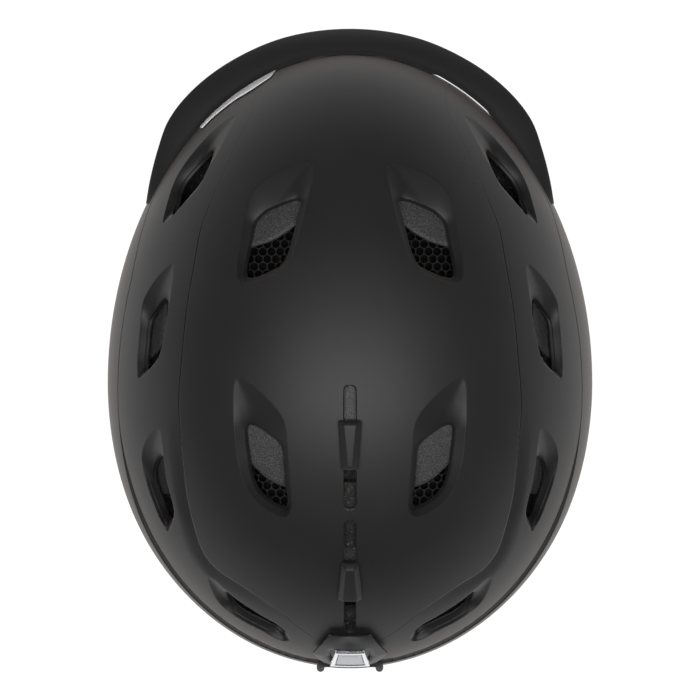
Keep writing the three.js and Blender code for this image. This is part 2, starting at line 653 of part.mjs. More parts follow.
// ---- chin strap ----
const STRAP = {
  topFront: { x: 75.6, y: -36, z: 33 },
  topRear: { x: 68.6, y: 38, z: 31 },
  meet: { x: 70.5, y: 6, z: -66 },
  divider: { half: 13, height: 13, thick: 4 },
  lower: { left: 84, right: 60 },
  anchor: { radius: 6.5, thick: 2.2, drop: 7, shift: { front: 2.7, rear: -2.5 } },
};
const BUCKLE = { half: 12.5, height: 30, thick: 5, magnet: 7, magnetThick: 1.8 };
const CHIN_PAD = { half: 13, thick: 7, from: 12, to: 66 };

// A straight flat web between two points, thin across the head.
function web(from, to, width) {
  const start = new THREE.Vector3(from.x, from.y, from.z);
  const end = new THREE.Vector3(to.x, to.y, to.z);
  const along = end.clone().sub(start);
  const wide = new THREE.Vector3(0, -along.z, along.y).normalize();
  return warp(new THREE.BoxGeometry(1, 1, 1, 1, 6, 1), (x, y, z) => {
    const p = start.clone().addScaledVector(along, 0.5 - y);
    p.addScaledVector(wide, x * width);
    p.x += z * WEB.thick;
    return p;
  });
}

function disc(radius, thick, count = 20) {
  return new THREE.CylinderGeometry(radius, radius, thick, count).rotateZ(Math.PI / 2);
}

// A plate in the side view with round corners, centred on its height.
function plate(half, height, thick, corner) {
  const s = new THREE.Shape();
  s.absarc(half - corner, height / 2 - corner, corner, 0, Math.PI / 2, false);
  s.absarc(-half + corner, height / 2 - corner, corner, Math.PI / 2, Math.PI, false);
  s.absarc(-half + corner, -height / 2 + corner, corner, Math.PI, 1.5 * Math.PI, false);
  s.absarc(half - corner, -height / 2 + corner, corner, 1.5 * Math.PI, 2 * Math.PI, false);
  const points = s.getPoints(3);
  const g = new THREE.ExtrudeGeometry(new THREE.Shape(points), { depth: thick, bevelEnabled: false });
  return warp(g, (y, z, x) => new THREE.Vector3(x - thick / 2, y, z));
}

function buildStraps() {
  const { meet, divider, anchor } = STRAP;
  const top = meet.z;
  const bottom = meet.z - divider.height;
  for (const side of sides) {
    const name = sideName(side);
    const turned = (made) => (side > 0 ? made : flipX(made));
    const legTop = top + TOUCH;
    const frontLeg = web(STRAP.topFront, { ...meet, y: meet.y - 5, z: legTop }, WEB.width * 0.9);
    const rearLeg = web(STRAP.topRear, { ...meet, y: meet.y + 5, z: legTop }, WEB.width * 0.9);
    const above_ = box(0, 200, -200, 200, legTop, 200);
    const frontPart = frontLeg.intersect(above_).subtract(box(0, 200, meet.y - TOUCH / 2, 200, -200, 200));
    add(`strap_front_${name}`, turned(frontPart), MATERIAL.webbing);
    const rearPart = rearLeg.intersect(above_).subtract(box(0, 200, -200, meet.y + TOUCH / 2, -200, 200));
    add(`strap_rear_${name}`, turned(rearPart), MATERIAL.webbing);
    for (const [end, at] of [['front', STRAP.topFront], ['rear', STRAP.topRear]]) {
      const lean = (at.x - meet.x) / (at.z - meet.z);
      const off = -WEB.thick / 2 - TOUCH - anchor.thick / 2;
      const made = warp(disc(anchor.radius, anchor.thick), (x, y, z) =>
        new THREE.Vector3(at.x + off + x + lean * (z - anchor.drop), at.y + y + anchor.shift[end], at.z + z - anchor.drop));
      add(`strap_anchor_${end}_${name}`, turned(made), MATERIAL.steel);
    }
    const middle = plate(divider.half, divider.height, divider.thick, 4);
    add(`strap_divider_${name}`, turned(middle.translate([meet.x, meet.y, (top + bottom) / 2])), MATERIAL.plastic);
    const end = bottom - STRAP.lower[name];
    const hang = web({ ...meet, z: bottom - TOUCH }, { ...meet, z: end }, WEB.width);
    add(`strap_lower_${name}`, turned(hang), MATERIAL.webbing);
    const centre = end - TOUCH - BUCKLE.height / 2;
    const holder = plate(BUCKLE.half, BUCKLE.height, BUCKLE.thick, 5).translate([meet.x, meet.y, centre]);
    const faceOut = -1;
    const seatX = meet.x + faceOut * (BUCKLE.thick / 2);
    const seat = solid(disc(BUCKLE.magnet + 0.3, BUCKLE.magnetThick * 2 + 0.6)).translate([seatX, meet.y, centre - 3]);
    const magnet = solid(disc(BUCKLE.magnet, BUCKLE.magnetThick));
    const magnetAt = [seatX + BUCKLE.magnetThick / 2 + 0.0, meet.y, centre - 3];
    add(side > 0 ? 'buckle_base' : 'buckle_slide', turned(holder.subtract(seat)), MATERIAL.plastic);
    add(`buckle_magnet_${name}`, turned(magnet.translate(magnetAt)), MATERIAL.steel);
  }
  const x = meet.x - WEB.thick / 2 - TOUCH - CHIN_PAD.thick / 2;
  const pad = plate(CHIN_PAD.half, CHIN_PAD.to - CHIN_PAD.from, CHIN_PAD.thick, 7);
  const padAt = bottom - (CHIN_PAD.from + CHIN_PAD.to) / 2;
  add('chin_pad', pad.translate([x, meet.y, padAt]), MATERIAL.fabric);
}

buildShells();
buildBrim();
buildBadge();
buildFoam();
buildComb();
buildShutters();
buildClip();
buildLiner();
buildCradle();
buildEars();
buildStraps();

export default helmet;
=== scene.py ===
"""Looks of a ski helmet: shells, vents, liner, fit parts and straps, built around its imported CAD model.

All sizes are in millimetres until a finished mesh is written, which is in metres.
"""

import logging
import math
from collections.abc import Callable, Sequence
from dataclasses import dataclass
from enum import Enum

import bmesh
import bpy
import numpy as np
from mathutils import Matrix, Vector
from mathutils.kdtree import KDTree


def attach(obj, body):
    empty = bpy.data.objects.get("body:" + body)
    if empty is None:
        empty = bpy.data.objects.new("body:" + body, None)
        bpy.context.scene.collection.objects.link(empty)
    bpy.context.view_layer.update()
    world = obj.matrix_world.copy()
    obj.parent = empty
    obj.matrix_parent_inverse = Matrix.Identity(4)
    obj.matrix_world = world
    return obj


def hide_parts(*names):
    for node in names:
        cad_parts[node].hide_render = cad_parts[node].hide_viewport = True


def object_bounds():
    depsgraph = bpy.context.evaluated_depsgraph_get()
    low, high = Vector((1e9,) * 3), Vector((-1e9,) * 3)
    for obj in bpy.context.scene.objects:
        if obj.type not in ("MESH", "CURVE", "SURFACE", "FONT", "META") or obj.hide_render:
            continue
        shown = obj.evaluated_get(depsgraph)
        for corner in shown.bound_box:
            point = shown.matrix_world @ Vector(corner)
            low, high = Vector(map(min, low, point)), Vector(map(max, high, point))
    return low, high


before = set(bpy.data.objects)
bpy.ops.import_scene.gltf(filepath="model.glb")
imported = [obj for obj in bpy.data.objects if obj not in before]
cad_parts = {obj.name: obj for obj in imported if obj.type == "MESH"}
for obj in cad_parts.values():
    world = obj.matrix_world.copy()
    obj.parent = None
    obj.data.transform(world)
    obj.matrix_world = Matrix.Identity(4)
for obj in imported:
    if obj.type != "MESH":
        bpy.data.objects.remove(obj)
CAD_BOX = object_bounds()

LOG = logging.getLogger("helmet")
MM = 0.001
SIDES = {"left": 1.0, "right": -1.0}
Points = np.ndarray
Pairs = Sequence[tuple[float, float]]
Span = tuple[float, float]
Depth = Callable[[Points], Points]


# ---------------------------------------------------------------------------- shader building


class Socket:
    """A shader value that can be added and multiplied in plain expressions."""

    def __init__(self, paint: "Paint", output: bpy.types.NodeSocket) -> None:
        """Wraps one output of a node."""
        self.paint = paint
        self.output = output

    def calc(self, operation: str, *values: "Socket | float") -> "Socket":
        """Adds a Math node.

        Args:
            operation: the node's operation.
            values: what its inputs take, in order.

        Returns:
            The node's result.
        """
        return self.paint.node("Math", {"operation": operation}, dict(enumerate(values)))

    def __add__(self, other: "Socket | float") -> "Socket":
        """Sum."""
        return self.calc("ADD", self, other)

    def __mul__(self, other: "Socket | float") -> "Socket":
        """Product."""
        return self.calc("MULTIPLY", self, other)

    __radd__ = __add__
    __rmul__ = __mul__

    def between(self, low: float, high: float) -> "Socket":
        """0 below low, 1 above high, and smooth in between."""
        settings = {"interpolation_type": "SMOOTHSTEP"}
        return self.paint.node("MapRange", settings, {0: self, 1: low, 2: high}, "Result")


class Paint:
    """One material under construction."""

    def __init__(self, name: str) -> None:
        """Starts an empty material with a Principled shader."""
        self.material = bpy.data.materials.new(name)
        self.material.use_nodes = True
        self.tree = self.material.node_tree
        self.shader = self.tree.nodes["Principled BSDF"]

    def node(
        self,
        kind: str,
        settings: dict[str, object] | None = None,
        inputs: dict[int | str, object] | None = None,
        result: int | str = 0,
    ) -> Socket:
        """Adds any node.

        Args:
            kind: the node type without its ShaderNode prefix.
            settings: the node's own properties, set first.
            inputs: values or sockets by input name or number.
            result: which output to give back.

        Returns:
            That output.
        """
        made = self.tree.nodes.new("ShaderNode" + kind)
        for key, value in (settings or {}).items():
            setattr(made, key, value)
        for key, value in (inputs or {}).items():
            self._feed(made.inputs[key], value)
        return Socket(self, made.outputs[result])

    def _feed(self, target: bpy.types.NodeSocket, value: object) -> None:
        """Links a socket to an input, or sets its plain value."""
        if isinstance(value, Socket):
            self.tree.links.new(value.output, target)
        else:
            target.default_value = value

    def set(self, **values: object) -> "Paint":
        """Sets the shader's inputs. Underscores stand for the spaces in their names."""
        for key, value in values.items():
            self._feed(self.shader.inputs[key.replace("_", " ")], value)
        return self

    def place(self, scale: float = 1.0, stretch: tuple[float, float, float] = (1, 1, 1)) -> Socket:
        """The object's own coordinates, scaled by millimetres and stretched."""
        source = self.node("TexCoord", result="Object")
        size = tuple(s * 1000.0 / scale for s in stretch)
        return self.node("Mapping", inputs={"Vector": source, "Scale": size})

    def noise(self, size: float, detail: float = 3.0, rough: float = 0.5, at: Socket | None = None) -> Socket:
        """Noise with features of about a size in millimetres."""
        inputs = {"Vector": at or self.place(size), "Scale": 1.0, "Detail": detail, "Roughness": rough}
        return self.node("TexNoise", {"noise_dimensions": "3D"}, inputs, 0)

    def cells(self, size: float, feature: str = "F1", at: Socket | None = None) -> Socket:
        """Distance to the nearest of a scatter of points a size apart in millimetres."""
        inputs = {"Vector": at or self.place(size), "Scale": 1.0}
        return self.node("TexVoronoi", {"feature": feature}, inputs, "Distance")

    def mix(self, share: Socket | float, low: tuple[float, ...], high: tuple[float, ...]) -> Socket:
        """A colour between two colours."""
        inputs = {0: share, 6: (*low, 1.0), 7: (*high, 1.0)}
        return self.node("Mix", {"data_type": "RGBA"}, inputs, 2)

    def bump(self, height: Socket, depth: float, strength: float = 1.0) -> "Paint":
        """Gives the surface relief of a depth in millimetres."""
        inputs = {"Height": height, "Distance": depth * MM, "Strength": strength}
        return self.set(Normal=self.node("Bump", {}, inputs))


class Finish(Enum):
    """Every finish on the helmet. The value is the record's material slot."""

    SHELL = "shell"
    BRIM = "brim"
    PLASTIC = "plastic"
    SHUTTER = "shutter"
    FOAM = "foam"
    COMB = "comb"
    CHROME = "chrome"
    ACCENT = "accent"
    FABRIC = "fabric"
    MESH = "fabric_mesh"
    WEBBING = "webbing"
    RUBBER = "rubber"
    STEEL = "steel"

    @property
    def slot(self) -> str:
        """The record's slot for this finish."""
        return "fabric" if self is Finish.MESH else self.value


def soft_touch_shell() -> Paint:
    """Matte moulded shell with a fine soft-touch texture."""
    p = Paint("matte_shell")
    grain = p.noise(0.55, 2.0, 0.6)
    cloud = p.noise(38.0, 2.0)
    p.set(Base_Color=p.mix(cloud.between(0.3, 0.7), (0.0125, 0.0124, 0.0128), (0.0150, 0.0148, 0.0152)))
    p.set(Roughness=0.49 + 0.05 * grain + 0.03 * cloud, Specular_IOR_Level=0.38)
    p.set(Sheen_Weight=0.12, Sheen_Roughness=0.3, Sheen_Tint=(1.0, 0.8, 0.68, 1.0))
    return p.bump(grain, 0.035, 0.22)


def soft_touch_brim() -> Paint:
    """The brim's softer and slightly darker moulding."""
    p = Paint("matte_brim")
    grain = p.noise(0.5, 2.0, 0.6)
    p.set(Base_Color=p.mix(grain, (0.0120, 0.0119, 0.0123), (0.0145, 0.0144, 0.0148)))
    p.set(Roughness=0.56 + 0.05 * grain, Specular_IOR_Level=0.38)
    return p.bump(grain, 0.035, 0.22)


def satin_plastic() -> Paint:
    """Satin moulded plastic with faint flow marks."""
    p = Paint("satin_plastic")
    flow = p.noise(9.0, 3.0, at=p.place(9.0, (1, 0.3, 1)))
    grain = p.noise(0.35, 2.0)
    p.set(Base_Color=p.mix(flow, (0.008, 0.008, 0.0085), (0.013, 0.013, 0.0138)))
    p.set(Roughness=0.34 + 0.12 * flow, Specular_IOR_Level=0.4)
    return p.bump(grain, 0.02, 0.3)


def grained_shutter() -> Paint:
    """Dark plate with the crisp grain of an etched mould."""
    p = Paint("grained_shutter")
    grain = p.noise(0.5, 2.0, 0.6)
    speck = p.cells(0.5)
    p.set(Base_Color=p.mix(grain.between(0.38, 0.66), (0.018, 0.018, 0.018), (0.085, 0.085, 0.086)))
    p.set(Roughness=0.5 + 0.2 * speck)
    return p.bump(grain, 0.3, 0.9)


def bead_foam() -> Paint:
    """Expanded foam whose fused beads show as soft cells."""
    p = Paint("bead_foam")
    bead = p.cells(3.2)
    seam = p.cells(3.2, "DISTANCE_TO_EDGE").between(0.0, 0.12)
    fleck = p.noise(2.4, 4.0, 0.7)
    p.set(Base_Color=p.mix(fleck.between(0.55, 0.78), (0.009, 0.0085, 0.008), (0.19, 0.168, 0.143)))
    p.set(Roughness=0.62 + 0.2 * bead)
    return p.bump(seam + 0.5 * bead + 0.4 * fleck, 0.35, 0.7)


def comb_tube() -> Paint:
    """Thin-walled extruded tubes, dark and faintly glossy."""
    p = Paint("comb_tube")
    streak = p.noise(1.4, 2.0, at=p.place(1.4, (1, 1, 0.1)))
    p.set(Base_Color=p.mix(streak, (0.009, 0.009, 0.0085), (0.026, 0.026, 0.025)))
    p.set(Roughness=0.32 + 0.15 * streak)
    return p.bump(streak, 0.03, 0.3)


def bright_chrome() -> Paint:
    """Bright plating with a breath of haze."""
    p = Paint("bright_chrome")
    haze = p.noise(4.0, 4.0)
    p.set(Base_Color=p.mix(haze, (0.74, 0.75, 0.77), (0.82, 0.83, 0.85)), Metallic=1.0)
    p.set(Roughness=0.12 + 0.1 * haze)
    return p.bump(p.noise(0.6), 0.008, 0.25)


def pale_inlay() -> Paint:
    """Glossy pale inlay with fine ribs."""
    p = Paint("pale_inlay")
    cloud = p.noise(6.0, 2.0)
    p.set(Base_Color=p.mix(cloud, (0.78, 0.79, 0.81), (0.86, 0.865, 0.88)))
    p.set(Roughness=0.2 + 0.1 * cloud)
    return p.bump(p.noise(0.8), 0.02, 0.2)


def brushed_lining() -> Paint:
    """Brushed lining fabric with a short pile."""
    p = Paint("brushed_lining")
    pile = p.noise(0.45, 4.0, 0.75)
    wear = p.noise(14.0, 3.0)
    share = (0.7 * pile + 0.3 * wear).between(0.3, 0.75)
    p.set(Base_Color=p.mix(share, (0.012, 0.0125, 0.0145), (0.036, 0.037, 0.042)))
    p.set(Roughness=0.86 + 0.1 * pile, Sheen_Weight=0.35, Sheen_Roughness=0.5, Specular_IOR_Level=0.2)
    return p.bump(pile, 0.25, 0.8)


def spacer_mesh() -> Paint:
    """Open knitted mesh on the pads' faces."""
    p = Paint("spacer_mesh")
    hole = p.cells(1.5).between(0.18, 0.42)
    thread = p.noise(0.4, 3.0)
    p.set(Base_Color=p.mix(hole, (0.008, 0.008, 0.009), (0.04, 0.041, 0.046)))
    p.set(Roughness=0.8 + 0.12 * thread, Sheen_Weight=0.25, Sheen_Roughness=0.5, Specular_IOR_Level=0.2)
    return p.bump(hole + 0.3 * thread, 0.35, 0.8)


def woven_webbing() -> Paint:
    """Flat woven webbing whose ribs run across its width."""
    p = Paint("woven_webbing")
    waves = []
    for axis, pitch in enumerate((0.0014, 0.0011)):
        place = p.node("SeparateXYZ", {}, {0: p.node("UVMap", {"uv_map": "UVMap"})}, axis)
        waves.append(place.calc("SINE", place * (2 * math.pi / pitch)) * 0.5 + 0.5)
    thread = waves[0] * waves[1]
    fuzz = p.noise(0.5, 3.0)
    share = (thread * 0.8 + fuzz * 0.3).between(0.1, 0.9)
    p.set(Base_Color=p.mix(share, (0.006, 0.006, 0.0065), (0.028, 0.028, 0.03)))
    p.set(Roughness=0.72 + 0.15 * fuzz, Sheen_Weight=0.2, Specular_IOR_Level=0.3)
    return p.bump(thread + 0.3 * fuzz, 0.25, 0.8)


def matte_rubber() -> Paint:
    """Matte rubber with a talc bloom."""
    p = Paint("matte_rubber")
    bloom = p.noise(5.0, 4.0)
    p.set(Base_Color=p.mix(bloom, (0.009, 0.009, 0.009), (0.017, 0.017, 0.017)))
    p.set(Roughness=0.6 + 0.2 * bloom)
    return p.bump(p.noise(0.4), 0.03, 0.4)


def brushed_steel() -> Paint:
    """Brushed steel discs and magnets."""
    p = Paint("brushed_steel")
    line = p.noise(0.5, 3.0, at=p.place(0.5, (1, 0.08, 1)))
    p.set(Base_Color=p.mix(line, (0.38, 0.39, 0.41), (0.55, 0.56, 0.58)), Metallic=1.0)
    p.set(Roughness=0.28 + 0.2 * line)
    return p.bump(line, 0.02, 0.4)


RECIPES: dict[Finish, Callable[[], Paint]] = {
    Finish.SHELL: soft_touch_shell,
    Finish.BRIM: soft_touch_brim,
    Finish.PLASTIC: satin_plastic,
    Finish.SHUTTER: grained_shutter,
    Finish.FOAM: bead_foam,
    Finish.COMB: comb_tube,
    Finish.CHROME: bright_chrome,
    Finish.ACCENT: pale_inlay,
    Finish.FABRIC: brushed_lining,
    Finish.MESH: spacer_mesh,
    Finish.WEBBING: woven_webbing,
    Finish.RUBBER: matte_rubber,
    Finish.STEEL: brushed_steel,
}


class Wardrobe:
    """Makes each finish once and dresses pieces with it."""

    def __init__(self) -> None:
        """Starts with nothing made."""
        self._made: dict[Finish, bpy.types.Material] = {}

    def material(self, finish: Finish) -> bpy.types.Material:
        """The finish's material, made the first time it is asked for."""
        if finish not in self._made:
            self._made[finish] = RECIPES[finish]().material
        return self._made[finish]

    def dress(self, piece: bpy.types.Object, finish: Finish) -> bpy.types.Object:
        """Gives a piece one finish."""
        piece.data.materials.clear()
        piece.data.materials.append(self.material(finish))
        return piece


WARDROBE = Wardrobe()


# ---------------------------------------------------------------------------- forms and lines


def eased(t: Points | float) -> Points | float:
    """Smooth 0 to 1."""
    t = np.clip(t, 0.0, 1.0)
    return t * t * (3.0 - 2.0 * t)


def rim_height(phi: Points) -> Points:
    """Height of the shell's lower edge, by angle from the front."""
    off = (np.degrees(np.abs(phi)) - 95.0) / 24.0
    return 14.0 + 25.0 * np.cos(phi) + 8.0 * np.exp(-off * off)


@dataclass(frozen=True)
class Form:
    """A layer of the helmet: half an ellipsoid over the belt and a slow tuck below it.

    An inset moves the layer towards the head, and a negative one moves it outwards.
    """

    side: float
    front: float
    back: float
    crown: float
    tuck: float
    shift: float = 0.0
    belt: float = 30.0

    def axes(self, inset: float, y: Points, z: Points) -> tuple[float, Points, Points]:
        """Half-lengths along x, y and z for places y and z from the form's own middle."""
        wide = self.side - inset
        long = np.where(y < 0, self.front, self.back) - inset
        tall = np.where(z < 0, self.tuck, self.crown) - inset
        return wide, long, tall

    def polar(self, inset: float, t: Points, phi: Points, rim: Points) -> Points:
        """Points at a share of the way from the crown to the rim.

        Args:
            inset: depth of the layer.
            t: share of the way down, 0 at the crown.
            phi: angle from the front, positive to the wearer's left.
            rim: height of the rim at each angle.

        Returns:
            The points, one row each.
        """
        drop = rim - self.belt
        theta = t * np.arccos(drop / self.axes(inset, phi * 0, drop)[2])
        x, y, z = np.sin(theta) * np.sin(phi), -np.sin(theta) * np.cos(phi), np.cos(theta)
        wide, long, tall = self.axes(inset, y, z)
        return np.stack([wide * x, self.shift + long * y, self.belt + tall * z], axis=1)

    def above(self, inset: float, plan: Points) -> Points:
        """The form's upper points over places in plan."""
        x, y = plan[:, 0], plan[:, 1]
        wide, long, tall = self.axes(inset, y - self.shift, np.ones_like(y))
        left = np.clip(1 - (x / wide) ** 2 - ((y - self.shift) / long) ** 2, 0, None)
        return np.stack([x, y, self.belt + tall * np.sqrt(left)], axis=1)

    def behind(self, inset: float, face: Points) -> Points:
        """The form's rear points at places in the back view, which are x and z."""
        x, z = face[:, 0], face[:, 1]
        wide, long, tall = self.axes(inset, np.ones_like(x), z - self.belt)
        left = np.clip(1 - (x / wide) ** 2 - ((z - self.belt) / tall) ** 2, 0, None)
        return np.stack([x, self.shift + long * np.sqrt(left), z], axis=1)

    def round_at(self, inset: Points | float, phi: Points, z: Points) -> Points:
        """The form's points at angles from the front and heights."""
        y = -np.cos(phi)
        wide, long, tall = self.axes(inset, y, z - self.belt)
        reach = np.sqrt(np.clip(1 - ((z - self.belt) / tall) ** 2, 0, None))
        return np.stack([wide * reach * np.sin(phi), self.shift + long * reach * y, z], axis=1)

    def outward(self, inset: float, p: Points) -> Points:
        """Unit directions out of the form at points on it."""
        y = p[:, 1] - self.shift
        z = p[:, 2] - self.belt
        wide, long, tall = self.axes(inset, y, z)
        n = np.stack([p[:, 0] / wide**2, y / long**2, z / tall**2], axis=1)
        return n / np.linalg.norm(n, axis=1, keepdims=True)


SHELL = Form(side=112.5, front=153.0, back=131.0, crown=118.0, tuck=130.0)
CAVITY = Form(side=82.0, front=106.0, back=106.0, crown=91.0, tuck=400.0, shift=-8.0)


def spline_span(q: Points, steps: int = 24) -> Points:
    """Points on a centripetal spline between the middle two of four points."""
    k = np.concatenate([[0.0], np.cumsum(np.sqrt(np.linalg.norm(np.diff(q, axis=0), axis=1)))])
    t = np.linspace(k[1], k[2], steps, endpoint=False)[:, None]

    def mix(a: Points, b: Points, low: float, high: float) -> Points:
        """The blend of two layers between two knots."""
        return ((high - t) * a + (t - low) * b) / (high - low)

    first = [mix(q[i], q[i + 1], k[i], k[i + 1]) for i in range(3)]
    second = [mix(first[i], first[i + 1], k[i], k[i + 2]) for i in range(2)]
    return mix(second[0], second[1], k[1], k[2])


def curve_through(points: Sequence[Sequence[float]], count: int, closed: bool) -> Points:
    """A smooth curve through points.

    Args:
        points: the places it passes.
        count: how many points to give back, evenly spaced.
        closed: whether it runs back to its start.

    Returns:
        The curve's points, one row each.
    """
    p = np.asarray(points, float)
    if closed:
        q = np.concatenate([p[-1:], p, p[:2]])
    else:
        q = np.concatenate([2 * p[:1] - p[1:2], p, 2 * p[-1:] - p[-2:-1]])
    fine = [spline_span(q[i : i + 4]) for i in range(len(q) - 3)]
    line = np.concatenate([*fine, p[:1] if closed else p[-1:]])
    run = np.concatenate([[0.0], np.cumsum(np.linalg.norm(np.diff(line, axis=0), axis=1))])
    at = np.linspace(0, run[-1], count + 1)[:count] if closed else np.linspace(0, run[-1], count)
    return np.stack([np.interp(at, run, line[:, k]) for k in range(line.shape[1])], axis=1)


def to_segments(plan: Points, start: Points, end: Points) -> tuple[Points, Points]:
    """Distance from places to the nearest of some segments, and the nearest point itself."""
    best = np.full(len(plan), 1e9)
    near = np.zeros((len(plan), 2))
    for a, b in zip(start, end):
        d = b - a
        t = np.clip(((plan - a) @ d) / max(d @ d, 1e-12), 0, 1)
        q = a + t[:, None] * d
        gap = np.hypot(plan[:, 0] - q[:, 0], plan[:, 1] - q[:, 1])
        closer = gap < best
        best[closer], near[closer] = gap[closer], q[closer]
    return best, near


class Outline:
    """A closed line in plan on the wearer's left, which counts on the right as well."""

    margin = 14.0

    def __init__(self, points: Pairs, samples: int = 120, smooth: bool = True) -> None:
        """Runs a line through points, smooth or straight."""
        self.line = curve_through(points, samples, True) if smooth else np.asarray(points, float)
        self.low = self.line.min(axis=0) - self.margin
        self.high = self.line.max(axis=0) + self.margin

    @classmethod
    def across(cls, half: Pairs, samples: int = 240) -> "Outline":
        """A line over both halves of the helmet, from the points of its left half."""
        return cls([*half, *[(-x, y) for x, y in reversed(half) if x > 0]], samples)

    def _folded(self, p: Points) -> Points:
        """Plan places brought over to the wearer's left."""
        return np.stack([np.abs(p[:, 0]), p[:, 1]], axis=1)

    def distance(self, p: Points) -> Points:
        """Distance to the line, positive inside it. Far places give minus the margin."""
        q = self._folded(p)
        out = np.full(len(q), -self.margin)
        close = np.all((q > self.low) & (q < self.high), axis=1)
        if close.any():
            q = q[close]
            gap, _ = to_segments(q, self.line, np.roll(self.line, -1, axis=0))
            out[close] = np.where(self._inside(q), gap, -gap)
        return out

    def _inside(self, q: Points) -> Points:
        """Which places lie inside, by counting crossings."""
        odd = np.zeros(len(q), bool)
        for a, b in zip(self.line, np.roll(self.line, -1, axis=0)):
            if a[1] == b[1]:
                continue
            spans = (a[1] > q[:, 1]) != (b[1] > q[:, 1])
            at = a[0] + (q[:, 1] - a[1]) * (b[0] - a[0]) / (b[1] - a[1])
            odd ^= spans & (q[:, 0] < at)
        return odd

    def snap(self, p: Points) -> Points:
        """Points moved onto the line and laid back on the shell."""
        q = self._folded(p)
        _, near = to_segments(q, self.line, np.roll(self.line, -1, axis=0))
        near[:, 0] *= np.where(p[:, 0] < 0, -1.0, 1.0)
        return SHELL.above(0.0, near)


class Slot:
    """A round-ended slot along the middle of the helmet."""

    def __init__(self, start: float, end: float, half: float) -> None:
        """Takes its two ends and its half width."""
        self.start, self.end, self.half = start + half, end - half, half

    def _middle(self, p: Points) -> Points:
        """Nearest places on the slot's centre line."""
        return np.stack([np.zeros(len(p)), np.clip(p[:, 1], self.start, self.end)], axis=1)

    def distance(self, p: Points) -> Points:
        """Distance to the slot's edge, positive inside it."""
        return self.half - np.linalg.norm(p[:, :2] - self._middle(p), axis=1)

    def snap(self, p: Points) -> Points:
        """Points moved onto the slot's edge."""
        middle = self._middle(p)
        away = p[:, :2] - middle
        away /= np.maximum(np.linalg.norm(away, axis=1, keepdims=True), 1e-9)
        return SHELL.above(0.0, middle + away * self.half)


class Belt:
    """The line between the lower shell and the shells above it, as heights by angle from the front."""

    seam = curve_through(
        [(0, 45), (25, 46), (42, 49), (54, 53), (62, 62), (70, 69.5), (82, 70), (96, 68), (108, 64), (122, 58),
         (140, 53), (160, 50), (180, 49)], 200, False,
    )

    def _angle(self, p: Points) -> Points:
        """The form's own angle from the front."""
        long = np.where(p[:, 1] < 0, SHELL.front, SHELL.back)
        return np.arctan2(p[:, 0] / SHELL.side, -p[:, 1] / long)

    def height(self, p: Points) -> Points:
        """The line's height at the angle of each point."""
        return np.interp(np.degrees(np.abs(self._angle(p))), self.seam[:, 0], self.seam[:, 1])

    def distance(self, p: Points) -> Points:
        """Height over the line."""
        return p[:, 2] - self.height(p)

    def snap(self, p: Points) -> Points:
        """Points moved up or down onto the line."""
        return SHELL.round_at(0.0, self._angle(p), self.height(p))


Line = Outline | Slot | Belt


# ---------------------------------------------------------------------------- meshes


def coords(parts: Sequence[bmesh.types.BMVert]) -> Points:
    """Positions of vertices, one row each."""
    return np.array([v.co for v in parts], float).reshape(-1, 3)


def move_to(verts: Sequence[bmesh.types.BMVert], p: Points) -> None:
    """Puts vertices at new positions."""
    for v, co in zip(verts, p):
        v.co = co


def centres(bm: bmesh.types.BMesh) -> Points:
    """Middles of all faces."""
    return np.array([f.calc_center_median() for f in bm.faces], float).reshape(-1, 3)


@dataclass
class Piece:
    """One finished object of the helmet."""

    name: str
    finish: Finish
    body: str = "helmet"
    stands_for: tuple[str, ...] = ()
    sharp: float = 32.0

    def make(self, bm: bmesh.types.BMesh) -> bpy.types.Object:
        """Turns a closed bmesh in millimetres into the piece.

        Args:
            bm: the shape, which is freed.

        Returns:
            The object, dressed and riding on its body.
        """
        bmesh.ops.recalc_face_normals(bm, faces=bm.faces[:])
        bmesh.ops.scale(bm, vec=(MM, MM, MM), verts=bm.verts[:])
        mesh = bpy.data.meshes.new(self.name)
        bm.to_mesh(mesh)
        bm.free()
        mesh.shade_smooth()
        mesh.set_sharp_from_angle(angle=math.radians(self.sharp))
        piece = bpy.data.objects.new(self.name, mesh)
        bpy.context.scene.collection.objects.link(piece)
        return self.settle(piece)

    def settle(self, piece: bpy.types.Object) -> bpy.types.Object:
        """Dresses an object and puts it on its body in place of its CAD nodes."""
        WARDROBE.dress(piece, self.finish)
        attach(piece, self.body)
        if self.stands_for:
            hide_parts(*self.stands_for)
        LOG.info("%s: %d faces on %s", self.name, len(piece.data.polygons), self.body)
        return piece


